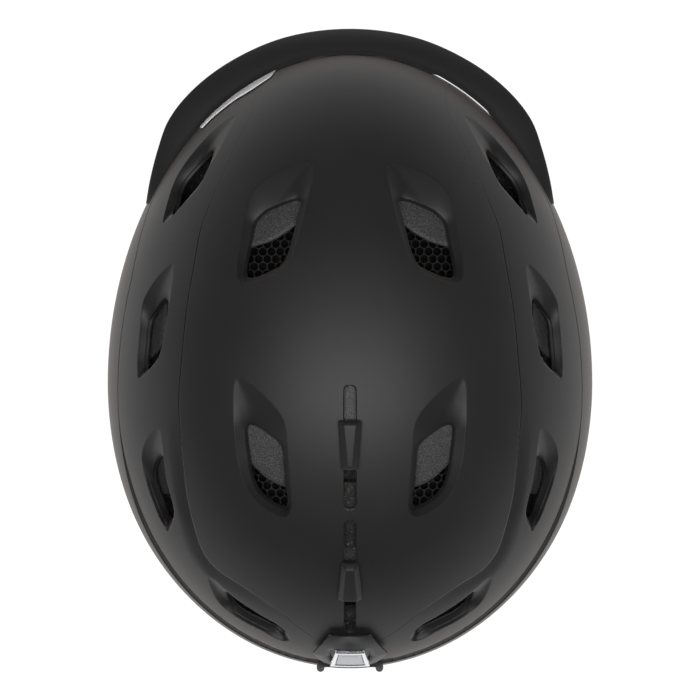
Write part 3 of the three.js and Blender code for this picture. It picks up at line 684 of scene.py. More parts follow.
class Dome:
    """A skin of the helmet under construction, from a dome of even cells."""

    def __init__(self, form: Form, inset: float = 0.0, cells: int = 60) -> None:
        """Cuts half a cube into even cells and rounds it off."""
        self.form, self.inset = form, inset
        self.bm = bmesh.new()
        bmesh.ops.create_cube(self.bm, size=2.0)
        bmesh.ops.subdivide_edges(self.bm, edges=self.bm.edges[:], cuts=cells - 1, use_grid_fill=True)
        everything = self.bm.verts[:] + self.bm.edges[:] + self.bm.faces[:]
        bmesh.ops.bisect_plane(
            self.bm, geom=everything, plane_co=(0, 0, 0), plane_no=(0, 0, 1), clear_inner=True
        )
        even = np.tan(coords(self.bm.verts) * math.pi / 4)
        move_to(self.bm.verts, even / np.linalg.norm(even, axis=1, keepdims=True))

    def _laid(self, d: Points) -> Points:
        """Where directions from the middle meet the form."""
        t = np.arccos(np.clip(d[:, 2] / np.linalg.norm(d, axis=1), 0, 1)) / (math.pi / 2)
        phi = np.arctan2(d[:, 0], -d[:, 1])
        return self.form.polar(self.inset, t, phi, rim_height(phi))

    def refine(self, nearness: Callable[[Points], Points], reaches: Sequence[float]) -> "Dome":
        """Halves the cells near some lines, again for each reach in turn."""
        for reach in reaches:
            near = nearness(self._laid(centres(self.bm))) < reach
            edges = {e for f, hit in zip(self.bm.faces, near) if hit for e in f.edges}
            bmesh.ops.subdivide_edges(self.bm, edges=list(edges), cuts=1, use_grid_fill=True)
            for v in self.bm.verts:
                v.co.normalize()
        return self

    def lay(self) -> "Dome":
        """Lays the cells on the form, in millimetres."""
        move_to(self.bm.verts, self._laid(coords(self.bm.verts)))
        return self

    def align(self, line: Line, reach: float) -> "Dome":
        """Moves the vertices nearest a line onto it, so that an edge runs along it."""
        p = coords(self.bm.verts)
        near = np.abs(line.distance(p)) < reach
        p[near] = line.snap(p[near])
        move_to(self.bm.verts, p)
        return self

    def trim(self, line: Line, keep: float, reach: float = 2.2) -> "Dome":
        """Cuts the skin along a line.

        Args:
            line: where to cut.
            keep: 1 to keep the line's positive side, and -1 the other.
            reach: how far the new edge may be from the line before it is moved onto it.

        Returns:
            The skin.
        """
        old = {v for v in self.bm.verts if v.is_boundary}
        wrong = line.distance(centres(self.bm)) * keep < 0
        bmesh.ops.delete(self.bm, geom=[f for f, out in zip(self.bm.faces, wrong) if out], context="FACES")
        edge = [v for v in self.bm.verts if v.is_boundary and v not in old]
        if edge:
            p = coords(edge)
            near = np.abs(line.distance(p)) < reach
            p[near] = line.snap(p[near])
            move_to(edge, p)
        return self

    def press(self, depth: Depth, scoop: Depth | None = None) -> "Dome":
        """Sinks the skin.

        Args:
            depth: how far each point goes in along its normal.
            scoop: how far it also goes in straight down, as measured along its normal.

        Returns:
            The skin.
        """
        p = coords(self.bm.verts)
        n = self.form.outward(self.inset, p)
        moved = p - n * depth(p)[:, None]
        if scoop:
            moved[:, 2] -= scoop(p) / np.clip(n[:, 2], 0.46, 1.0)
        move_to(self.bm.verts, moved)
        return self

    def thicken(self, wall: float) -> "Dome":
        """Gives the skin a wall towards the head."""
        bmesh.ops.dissolve_degenerate(self.bm, dist=0.02, edges=self.bm.edges[:])
        made = bmesh.ops.extrude_face_region(self.bm, geom=self.bm.faces[:], use_keep_orig=True)["geom"]
        inner = [v for v in made if isinstance(v, bmesh.types.BMVert)]
        p = coords(inner)
        move_to(inner, p - self.form.outward(self.inset, p) * wall)
        return self


def surface(
    rows: int, columns: int, place: Callable[[Points, Points], Points], wrap: Span | None = None
) -> bmesh.types.BMesh:
    """A closed bar from a grid bent round by a function.

    Args:
        rows: cells along the shape, the function's first argument from 0 to 1.
        columns: cells round it, the second argument from 0 to 1.
        place: gives the points, in millimetres.
        wrap: the grid's size in metres for a UV map along and round it, or None for no map.

    Returns:
        The bmesh, whose ends are filled.
    """
    bm = bmesh.new()
    if wrap:
        bm.loops.layers.uv.new("UVMap")
    bmesh.ops.create_grid(bm, x_segments=rows, y_segments=columns, size=0.5, calc_uvs=bool(wrap))
    if wrap:
        layer = bm.loops.layers.uv["UVMap"]
        for face in bm.faces:
            for loop in face.loops:
                loop[layer].uv = (loop[layer].uv[0] * wrap[0], loop[layer].uv[1] * wrap[1])
    grid = coords(bm.verts)[:, :2] + 0.5
    move_to(bm.verts, place(grid[:, 0], grid[:, 1]))
    bmesh.ops.remove_doubles(bm, verts=bm.verts[:], dist=0.004)
    bmesh.ops.holes_fill(bm, edges=[e for e in bm.edges if e.is_boundary], sides=0)
    return bm


def ease_edges(bm: bmesh.types.BMesh, size: float, segments: int = 2, angle: float = 28.0) -> bmesh.types.BMesh:
    """Rounds every edge that turns by more than an angle in degrees."""
    turned = [e for e in bm.edges if len(e.link_faces) == 2 and e.calc_face_angle(0.0) > math.radians(angle)]
    bmesh.ops.bevel(
        bm, geom=turned, offset=size, offset_type="OFFSET", segments=segments, profile=0.5, affect="EDGES",
        clamp_overlap=True, material=-1,
    )
    return bm


def softened(
    node: str, finish: Finish, body: str = "helmet", size: float = 0.35, segments: int = 2
) -> bpy.types.Object:
    """A piece with a CAD node's shape and eased edges, which stands for the node."""
    bm = bmesh.new()
    bm.from_mesh(bpy.data.objects[node].data)
    bmesh.ops.scale(bm, vec=(1 / MM, 1 / MM, 1 / MM), verts=bm.verts[:])
    bmesh.ops.remove_doubles(bm, verts=bm.verts[:], dist=0.002)
    bmesh.ops.dissolve_limit(bm, angle_limit=math.radians(1.0), verts=bm.verts[:], edges=bm.edges[:])
    ease_edges(bm, size, segments)
    return Piece(f"{node}_moulded", finish, body, (node,)).make(bm)


def rounded(gap: Points, radius: Points | float) -> Points:
    """How far a rounded edge has dropped at a distance in from it."""
    left = np.clip(1 - gap / np.maximum(radius, 1e-6), 0, 1)
    return radius * (1 - np.sqrt(1 - left**2))


# ---------------------------------------------------------------------------- shell


@dataclass(frozen=True)
class Vent:
    """A scooped opening in the shell, down from a mouth to a throat."""

    mouth: Outline
    throat: Outline
    depth: float = 4.4
    crease: float = 0.2
    lip: float = 0.45

    def sink(self, p: Points) -> Points:
        """How far the skin sinks in the scoop."""
        out = self.mouth.distance(p)
        left = np.clip(-self.throat.distance(p), 0, None)
        share = out / np.maximum(out + left, 1e-6)
        soft = out / np.hypot(out, self.crease)
        return np.where(out > 0, self.depth * share * soft + rounded(left, self.lip), 0.0)


VENTS = {
    "crown_front": Vent(
        Outline(
            [(16.4, -99.2), (21.8, -99.2), (31.8, -95.7), (38.6, -91.7), (43, -87.2), (45.4, -82.8), (47, -76.7),
             (48.5, -68.6), (49.7, -60.6), (50.5, -51.4), (50, -47), (47.9, -45), (43.5, -45.3), (36.3, -47.7),
             (30.7, -50.9), (26.8, -55.2), (24.4, -61.6), (21.3, -72.4), (18.5, -84.6), (16.3, -94.6)]
        ),
        Outline(
            [(22.9, -82.9), (25.7, -82.7), (31.7, -80.6), (37.7, -77.8), (40.9, -75), (42.9, -72.2), (44.1, -66.6),
             (45.6, -58.6), (46.8, -50.6), (46, -47.9), (41.6, -48.1), (35.6, -50.5), (30.7, -53.3), (28, -58.1),
             (26, -64.4), (24.1, -72.4), (21.9, -81.3)]
        ),
    ),
    "crown_rear": Vent(
        Outline(
            [(49.1, -3), (43.9, -0.1), (37.1, 5.9), (32, 11.7), (29.4, 16.4), (28.2, 22.3), (27.3, 31.7),
             (26.3, 44.6), (25.9, 54.5), (27.9, 58.8), (30.9, 58.8), (37.3, 55.9), (43.3, 50.8), (47.5, 43.5),
             (50.1, 34.1), (51.3, 23.4), (51.9, 10.6), (51.8, 2), (50.8, -2.2)]
        ),
        Outline(
            [(44.8, 18), (41.4, 18.6), (36.3, 22), (32, 25.4), (30.3, 28.4), (29.7, 33.9), (28.9, 44.6),
             (27.8, 53.2), (29.1, 54.9), (33, 53.7), (38.1, 50.3), (41.5, 46.5), (44.1, 39.6), (45.3, 31.8),
             (46.3, 23.4), (46.3, 19.5)]
        ),
    ),
    "side": Vent(
        Outline(
            [(80, -54.3), (82.1, -53.3), (86.7, -48.9), (90.9, -43.3), (93.8, -37.7), (95, -30.3), (96, -20.2),
             (96.6, -10.1), (95.7, -2.4), (91.4, -5.3), (86.7, -10.9), (84.8, -16.2), (83.4, -24.2), (81.8, -34.3),
             (80.3, -44.3), (79.5, -51.6)]
        ),
        Outline(
            [(82.8, -38.5), (85.2, -36.7), (88.6, -32.3), (90.9, -28.3), (91.9, -20.2), (92.3, -6.1), (90.1, -7.7),
             (86.8, -11.7), (84.9, -17.2), (82.3, -32.3), (82.1, -37.1)]
        ),
    ),
    "side_rear": Vent(
        Outline(
            [(86.8, 20.2), (89.4, 21.5), (92.9, 26.5), (94.5, 31.8), (94, 38.8), (92, 47), (89.2, 55.1), (86, 62.5),
             (82.7, 67.3), (80.4, 63), (79.4, 58), (80.5, 51.8), (82.5, 44.5), (84, 34.4), (84.8, 26.3), (85.7, 21)]
        ),
        Outline(
            [(84.8, 32.4), (87, 33.7), (88.7, 37.4), (89.3, 42.3), (87.7, 48.8), (85.7, 54.1), (83.4, 60.6),
             (81.3, 62.2), (80, 58.5), (81, 51.9), (82.9, 44.5), (84.2, 35.2)]
        ),
    ),
    "corner": Vent(
        Outline(
            [(52, -122.4), (56.5, -120.7), (62.7, -115.8), (68.8, -109.3), (75, -101.6), (78.6, -95.8), (81, -90.4),
             (83.3, -82.6), (85.1, -72.6), (80.9, -76.6), (74.3, -83), (68.1, -89.8), (64.6, -97.2), (60.6, -104.5),
             (56.2, -112.9)]
        ),
        Outline(
            [(62.3, -106.1), (66.4, -103.2), (71.3, -97.9), (75.4, -92.6), (77.8, -87.3), (78.5, -83.6),
             (80.5, -76.6), (74.3, -83.8), (67.8, -91.5), (64.2, -98.8)]
        ),
    ),
    "rear": Vent(
        Outline(
            [(64.4, 87.9), (63, 93.9), (60.3, 99.4), (54.6, 104.9), (47.6, 109.4), (40.3, 113), (34.2, 116.4),
             (29.7, 117.8), (27.4, 117), (28.4, 114.2), (31.9, 110.3), (40.1, 105.3), (47.3, 100.8), (53, 96.7),
             (57.1, 93.1), (61.5, 89)]
        ),
        Outline(
            [(55.7, 94.3), (54.7, 98.6), (52.4, 102), (47.5, 105.7), (41, 108.9), (34.9, 111.8), (29.8, 113.6),
             (32, 110.5), (40.1, 105.6), (47.3, 101), (53, 96.9)]
        ),
    ),
}
CROWN = Outline.across(
    [(0, -170), (43, -170), (44, -126), (50, -112), (56, -98), (62, -84), (67, -70), (69.5, -56), (73, -35),
     (75, -15), (76.7, 7.5), (75.7, 29.6), (74, 50), (71, 64), (66.8, 76.6), (61, 84), (47, 93), (31, 104),
     (17, 115), (0, 121)]
)
BELT = Belt()
SLOTS = (Slot(0.3, 55.4, 2.7), Slot(60.2, 112.7, 2.7))


def nearest(*lines: Line) -> Depth:
    """A function that gives the distance to the nearest of some lines."""
    return lambda p: np.min([np.abs(line.distance(p)) for line in lines], axis=0)


@dataclass
class Shells:
    """The three hard shells, each a skin with its vents pressed in."""

    cells: int = 60
    wall: float = 1.7
    proud: float = 1.2
    flush: float = 0.12
    ramp: float = 1.9
    channel: float = 0.8
    seam: float = 0.34
    finest: tuple[float, ...] = (6.0, 3.0, 1.4)

    def build(self) -> None:
        """Makes the shells."""
        self._upper()
        self._side()
        self._lower()

    def _skin(self, vents: Sequence[Vent], *seams: Line, share: float = 1.0) -> Dome:
        """A laid dome with fine cells along the vents and seams."""
        lines = [line for vent in vents for line in (vent.mouth, vent.throat)]
        reaches = [share * reach for reach in self.finest]
        return Dome(SHELL, cells=self.cells).refine(nearest(*lines, *seams), reaches).lay()

    def _open(self, skin: Dome, vents: Sequence[Vent]) -> Dome:
        """Cuts the vents' throats and runs an edge along their mouths."""
        for vent in vents:
            skin.trim(vent.throat, -1).align(vent.mouth, 0.22)
        return skin

    def _upper(self) -> None:
        """The crown, with its four vents and the two slots of the sliders."""
        vents = (VENTS["crown_front"], VENTS["crown_rear"])
        skin = self._skin(vents, CROWN, *SLOTS).trim(BELT, 1).trim(CROWN, 1)
        for slot in SLOTS:
            skin.trim(slot, -1)
        self._open(skin, vents).press(self._upper_depth, self._scoops(vents)).thicken(self.wall)
        Piece("upper_shell_skin", Finish.SHELL, stands_for=("upper_shell",)).make(skin.bm)

    @staticmethod
    def _scoops(vents: Sequence[Vent]) -> Depth:
        """A function that gives the depth of all the scoops."""
        return lambda p: sum(vent.sink(p) for vent in vents)

    @staticmethod
    def _upper_depth(p: Points) -> Points:
        """The slots' soft edges, and the crown's own edge, which stands clearer towards the back."""
        edge = 0.06 + 0.9 * eased((p[:, 1] - 5) / 55) * (1 - 0.9 * eased((p[:, 1] - 84) / 24))
        return rounded(CROWN.distance(p), edge) + sum(rounded(-slot.distance(p), 0.5) for slot in SLOTS)

    def _side(self) -> None:
        """The band round the crown, with its eight vents."""
        vents = tuple(VENTS[name] for name in ("side", "side_rear", "corner", "rear"))
        skin = self._skin(vents, CROWN, BELT, share=0.58).trim(BELT, 1).trim(CROWN, -1)
        self._part_seam(skin)
        self._open(skin, vents).press(self._side_depth, self._scoops(vents)).thicken(self.wall)
        Piece("side_shell_skin", Finish.SHELL, stands_for=("side_shell",)).make(skin.bm)

    def _part_seam(self, skin: Dome) -> None:
        """Draws the band back from the crown's edge, so that a thin dark seam is left in front."""
        near = CROWN.distance(coords(skin.bm.verts)) > -1.5
        verts = [v for v, close in zip(skin.bm.verts, near) if close]
        p, step = coords(verts), 0.05
        here = CROWN.distance(p)
        slope = np.column_stack([(CROWN.distance(p + move) - here) / step for move in step * np.eye(3)[:2]])
        back = self.seam * (1 - eased(-here / 1.5)) * (1 - 0.6 * eased((p[:, 1] - 20) / 30))
        back *= eased((p[:, 1] + 96) / 34) * (1 - eased((p[:, 1] - 76) / 22))
        move_to(verts, SHELL.above(skin.inset, p[:, :2] - slope * back[:, None]))

    def _side_depth(self, p: Points) -> Points:
        """The ramp outside the crown's edge, and the channel above the belt line."""
        y = p[:, 1]
        rise = self.ramp * eased((y - 5) / 55) * (1 - eased((y - 78) / 30))
        ramp = rise * (1 - eased(-CROWN.distance(p) / 5.5))
        channel = self.channel * eased((y - 15) / 60) * (1 - eased(BELT.distance(p) / 4.0))
        return ramp + channel

    def _lower(self) -> None:
        """The proud band down to the rim."""
        skin = self._skin((), BELT).trim(BELT, -1).press(self._lower_depth).thicken(self.wall + self.proud)
        Piece("lower_shell_skin", Finish.SHELL, stands_for=("lower_shell",)).make(skin.bm)

    def _lower_depth(self, p: Points) -> Points:
        """Stands proud of the shells above it, with rounded edges."""
        rim = p[:, 2] - rim_height(np.arctan2(p[:, 0], -p[:, 1]))
        behind = eased((p[:, 1] - 10) / 70)
        stand = self.flush + (self.proud - self.flush) * behind
        return rounded(-BELT.distance(p), 0.3 + 0.8 * behind) + rounded(rim, 1.6) - stand


# ---------------------------------------------------------------------------- brim


@dataclass
class Brim:
    """The short peak and the pale inlay behind its left edge."""

    edge: Pairs = ((94.3, -83), (92.5, -94), (89, -108), (84, -121.8), (73, -135.8), (55, -149.5), (30, -160.5),
                   (0, -164.5))
    root: Pairs = ((92.3, -83), (85, -94.5), (77, -106), (65.8, -121.5), (51.5, -134), (32, -145.3),
                   (16, -150.6), (0, -152))
    inlay_front: Pairs = ((34.2, -143.8), (43.6, -138.6), (51.4, -133.4), (59.1, -127.3), (65.6, -121.1),
                          (68.6, -117.4))
    inlay_back: Pairs = ((36.6, -140.2), (46, -133.7), (52.5, -129.9), (57.6, -126.1), (63.4, -121.3),
                         (67.6, -117))
    root_height: Span = (51.0, 45.5)
    edge_height: Span = (48.0, 37.0)
    thick: Span = (3.4, 1.8)
    bury: float = 1.4
    gap: float = 1.3
    gap_reach: Span = (35.0, 62.0)

    def build(self) -> None:
        """Makes the brim and its inlay."""
        bm = surface(150, 40, self._peak)
        Piece("brim_peak", Finish.BRIM, stands_for=("brim",), sharp=50).make(bm)
        self._inlay()

    @staticmethod
    def _both(half: Pairs) -> Points:
        """A curve through both halves, from the wearer's left."""
        return curve_through([*half, *[(-x, y) for x, y in reversed(half[:-1])]], 241, False)

    @staticmethod
    def _along(line: Points, u: Points) -> Points:
        """Points a share of the way along a line."""
        at = np.linspace(0, 1, len(line))
        return np.stack([np.interp(u, at, line[:, k]) for k in range(line.shape[1])], axis=1)

    def _clear_of_shell(self, plan: Points, away: Points, height: Points, extra: Points) -> Points:
        """Plan points pushed off the shell at a height."""
        drop = (height - SHELL.belt) / SHELL.crown
        reach = np.sqrt(np.clip(1 - drop**2, 0, None))
        wide, long = SHELL.side * reach - self.bury, SHELL.front * reach - self.bury
        for _ in range(24):
            inside = (plan[:, 0] / wide) ** 2 + (plan[:, 1] / long) ** 2 < 1
            plan = plan + away * 0.25 * inside[:, None]
        return plan + away * extra[:, None]

    def _peak(self, u: Points, v: Points) -> Points:
        """A point on the peak: v runs over the top from root to lip and back underneath."""
        wing = np.abs(2 * u - 1) ** 1.5
        inner, outer = self._along(self._both(self.root), u), self._along(self._both(self.edge), u)
        away = outer - inner
        away /= np.linalg.norm(away, axis=1, keepdims=True)
        root_z = self.root_height[1] + (self.root_height[0] - self.root_height[1]) * wing
        edge_z = self.edge_height[1] + (self.edge_height[0] - self.edge_height[1]) * wing
        near, far = (eased((-inner[:, 0] - place) / 6) for place in self.gap_reach)
        gap = self.gap * near * (1 - far)
        start = self._clear_of_shell(inner, away, root_z - self.thick[0], gap)
        turn = 2 * math.pi * v
        side, through = np.cos(turn), np.sin(turn)
        s = 0.5 - 0.5 * np.sign(side) * np.abs(side) ** 0.5
        through = np.sign(through) * np.abs(through) ** 0.45
        thick = self.thick[0] + (self.thick[1] - self.thick[0]) * s
        plan = start + (outer - start) * s[:, None]
        crown = 1.6 * np.sin(math.pi * s) * (1 - wing)
        fillet = 1.3 * np.clip(1 - s / 0.22, 0, 1) ** 2 * (through > 0)
        z = root_z * (1 - s) + edge_z * s + crown + fillet - thick / 2 + through * thick / 2
        return np.column_stack([plan, z])

    def _inlay(self) -> None:
        """The sliver let in between the shell and the brim."""
        low, high = (curve_through(line, 80, False) for line in (self.inlay_front, self.inlay_back))

        def place(u: Points, v: Points) -> Points:
            """A point on the sliver's rounded bar."""
            turn = 2 * math.pi * v
            across = 0.5 + 0.5 * np.sign(np.cos(turn)) * np.abs(np.cos(turn)) ** 0.5
            plan = self._along(low, u) * (1 - across)[:, None] + self._along(high, u) * across[:, None]
            foot = SHELL.above(0.0, plan)
            stand = 0.75 + 0.35 * np.sign(np.sin(turn)) * np.abs(np.sin(turn)) ** 0.5
            return foot + SHELL.outward(0.0, foot) * stand[:, None]

        Piece("brow_inlay", Finish.ACCENT, stands_for=("brow_badge",), sharp=60).make(surface(90, 20, place))


# ---------------------------------------------------------------------------- vents' insides


@dataclass
class Shutters:
    """The two shutters under the crown and the knobs that slide them."""

    inset: float = 7.4
    thick: float = 1.2
    low: float = 72.0
    section: Pairs = ((1.0, 0.7), (1.0, 2.1), (1.0, 5.2), (-1.0, 5.2), (-1.0, 2.1), (-1.0, 0.7), (1.0, 0.7))
    front: Pairs = ((0, -97), (50, -97), (51, -76), (66, -66), (97, -60), (97, -10), (84.5, -19.5), (82, -44),
                    (62, -54), (44.2, -62), (37.6, -63.9), (31.6, -66.8), (24.3, -71.8), (16, -80), (6.5, -84),
                    (6.5, 34), (0, 34))
    rear: Pairs = ((0, 68), (11.5, 68), (11.5, 2), (54, 2), (84, 12), (97, 16), (97, 46), (83, 50.5), (79, 49),
                   (70, 40), (50, 33), (44.7, 35.5), (38.5, 41.3), (33.8, 44.2), (28.7, 46.1), (24, 47.2),
                   (24, 78), (6.5, 78), (6.5, 98), (0, 98))

    def build(self) -> None:
        """Makes both shutters with their knobs."""
        self._plate("front", Outline.across(self.front, 400))
        self._plate("rear", Outline.across(self.rear, 400))
        self._knob("front", (15.4, 37.2), (5.3, 3.7), (23, 33), (0.52, 0.24))
        self._knob("rear", (78.6, 95.4), (3.6, 5.4), (85, 94), (0.5, 0.6))
        self._bar("front_slot_strip", Finish.SHUTTER, "front_vents", (-12.0, 32.8), (3.2, 4.1))
        for name, ends in (("a", (44.4, 57.0)), ("c", (105.0, 113.5))):
            self._bar(f"slot_foam_{name}", Finish.FOAM, "helmet", ends, (2.9, 6.6))
        self._bar("slot_foam_b", Finish.FOAM, "helmet", (58.0, 75.4), (3.8, 6.4))

    def _plate(self, end: str, line: Outline) -> None:
        """One shutter: a curved plate with rounded edges."""
        skin = Dome(SHELL, self.inset, 56).refine(nearest(line), (4.0, 2.0)).lay()
        skin.trim(line, 1, 3.0)
        p = coords(skin.bm.verts)
        onto = SHELL.above(self.inset, p[:, :2])
        move_to(skin.bm.verts, np.where(p[:, 2:] > self.low, onto, p))
        everything = skin.bm.verts[:] + skin.bm.edges[:] + skin.bm.faces[:]
        bmesh.ops.bisect_plane(
            skin.bm, geom=everything, plane_co=(0, 0, self.low), plane_no=(0, 0, 1), clear_inner=True
        )
        skin.press(lambda q: rounded(line.distance(q), 0.5)).thicken(self.thick)
        body, node = f"{end}_vents", f"{end}_vent_shutter"
        Piece(f"{end}_shutter_plate", Finish.SHUTTER, body, (node,)).make(skin.bm)

    def _knob(self, end: str, y: Span, half: Span, neck: Span, facet: Span) -> None:
        """One finger knob: bevelled sides round a narrow facet, on a neck through the slot.

        Args:
            end: which shutter it slides.
            y: where it starts and ends along the helmet.
            half: its half width at each end.
            neck: where its neck starts and ends.
            facet: share of the width that its top facet takes at each end.
        """
        side = np.array(self.section)

        def place(u: Points, v: Points) -> Points:
            """A point on the knob: v runs round its section."""
            end_off = np.minimum(u, 1 - u) * (y[1] - y[0])
            shrink = np.sqrt(np.clip(1 - (1 - np.clip(end_off / 0.9, 0, 1)) ** 2, 0, 1))
            wide = (half[0] + (half[1] - half[0]) * u) * (0.9 + 0.1 * shrink)
            at = v * (len(side) - 1)
            across, stand = (np.interp(at, np.arange(len(side)), side[:, k]) for k in (0, 1))
            high = stand > 3
            across = across * np.where(high, facet[0] + (facet[1] - facet[0]) * u, 1.0)
            slope = np.clip(end_off / 1.4, 0, 1)
            stand = 0.7 + (stand - 0.7) * np.where(high, 0.42 + 0.58 * slope, 1.0)
            plan = np.column_stack([across * wide, y[0] + u * (y[1] - y[0])])
            foot = SHELL.above(0.0, plan)
            return foot + SHELL.outward(0.0, foot) * stand[:, None]

        bm = ease_edges(surface(22, 6, place), 0.35, 3, 16)
        body, node = f"{end}_vents", f"{end}_slider_knob"
        Piece(f"{end}_knob_cap", Finish.SHELL, body, (node,), 24).make(bm)
        middle = (neck[0] + neck[1]) / 2
        stem = bmesh.new()
        bmesh.ops.create_cube(stem, size=1.0)
        stand = coords(stem.verts)
        foot = SHELL.above(0.0, np.column_stack([stand[:, 0] * 4, middle + stand[:, 1] * (neck[1] - neck[0])]))
        out = np.where(stand[:, 2] > 0, 1.5, -self.inset + 0.3)
        move_to(stem.verts, foot + SHELL.outward(0.0, foot) * out[:, None])
        Piece(f"{end}_knob_stem", Finish.PLASTIC, body).make(ease_edges(stem, 0.4))

    @staticmethod
    def _bar(name: str, finish: Finish, body: str, ends: Span, inset: Span) -> None:
        """A flat bar under a slot, between two ends and two depths."""
        middle, half = (inset[0] + inset[1]) / 2, (inset[1] - inset[0]) / 2

        def place(u: Points, v: Points) -> Points:
            """A point on the bar: v runs round its section."""
            turn = 2 * math.pi * v
            across = np.sign(np.cos(turn)) * np.abs(np.cos(turn)) ** 0.3 * 3.9
            deep = middle - np.sign(np.sin(turn)) * np.abs(np.sin(turn)) ** 0.5 * half
            foot = SHELL.above(0.0, np.column_stack([across, ends[0] + u * (ends[1] - ends[0])]))
            return foot - SHELL.outward(0.0, foot) * deep[:, None]

        Piece(name, finish, body, sharp=60).make(surface(60, 24, place))


@dataclass
class Honeycomb:
    """Four blocks of tubes let into the foam."""

    pitch: float = 3.9
    top: float = 10.4
    low: float = 74.0
    wall: float = 0.13
    deep: float = 13.0
    front: Pairs = ((20, -90), (44, -90), (58, -76), (74, -62), (97, -50), (99, -2), (60, -6), (20, -40))
    rear: Pairs = ((21, 14), (60, 12), (97, 16), (97, 44), (86, 68), (56, 62), (21, 60))

    def build(self) -> None:
        """Makes the blocks on both sides."""
        for end, points in (("front", self.front), ("rear", self.rear)):
            line = Outline(points, smooth=False)
            for side, sign in SIDES.items():
                stands_for = (f"honeycomb_{end}_{side}",)
                piece = Piece(f"comb_{end}_{side}", Finish.COMB, stands_for=stands_for, sharp=40)
                piece.make(self._block(line, sign))

    def _centres(self, line: Outline) -> Points:
        """Middles of the tubes that lie inside an outline."""
        step = self.pitch * math.sqrt(3) / 2
        x, y = np.meshgrid(np.arange(0, 105, self.pitch), np.arange(-100, 75, step))
        x = x + (np.round(y / step) % 2) * self.pitch / 2
        at = np.column_stack([x.ravel(), y.ravel()])
        high = SHELL.above(self.top, at)[:, 2] > self.low
        return at[(line.distance(at) > -0.2 * self.pitch) & high]

    def _block(self, line: Outline, sign: float) -> bmesh.types.BMesh:
        """One block: a sheet of hexagons made solid, with a blind round tube into each."""
        bm = bmesh.new()
        for x, y in self._centres(line):
            spot = Matrix.Translation((x * sign, y, 0))
            bmesh.ops.create_circle(
                bm, cap_ends=True, radius=self.pitch / math.sqrt(3), segments=6, matrix=spot
            )
        bmesh.ops.remove_doubles(bm, verts=bm.verts[:], dist=0.05)
        cells = bmesh.ops.inset_individual(bm, faces=bm.faces[:], thickness=self.wall)["faces"]
        tubes = [f for f in bm.faces if f not in set(cells)]
        self._round(bm, tubes)
        tubes = [f for f in bm.faces if len(f.verts) == 12]
        move_to(bm.verts, SHELL.above(self.top, coords(bm.verts)[:, :2]))
        deep = bmesh.ops.extrude_discrete_faces(bm, faces=tubes)["faces"]
        for f in deep:
            bmesh.ops.translate(bm, verts=f.verts[:], vec=(0, 0, -self.deep))
        return bm

    def _round(self, bm: bmesh.types.BMesh, tubes: Sequence[bmesh.types.BMFace]) -> None:
        """Turns the hexagons inside their walls into twelve-sided rounds."""
        middles = {f: f.calc_center_median() for f in tubes}
        edges = {e for f in tubes for e in f.edges}
        bmesh.ops.subdivide_edges(bm, edges=list(edges), cuts=1)
        radius = self.pitch / 2 - self.wall
        for f, middle in middles.items():
            for v in f.verts:
                v.co = middle + (v.co - middle).normalized() * radius


# ---------------------------------------------------------------------------- goggle clip


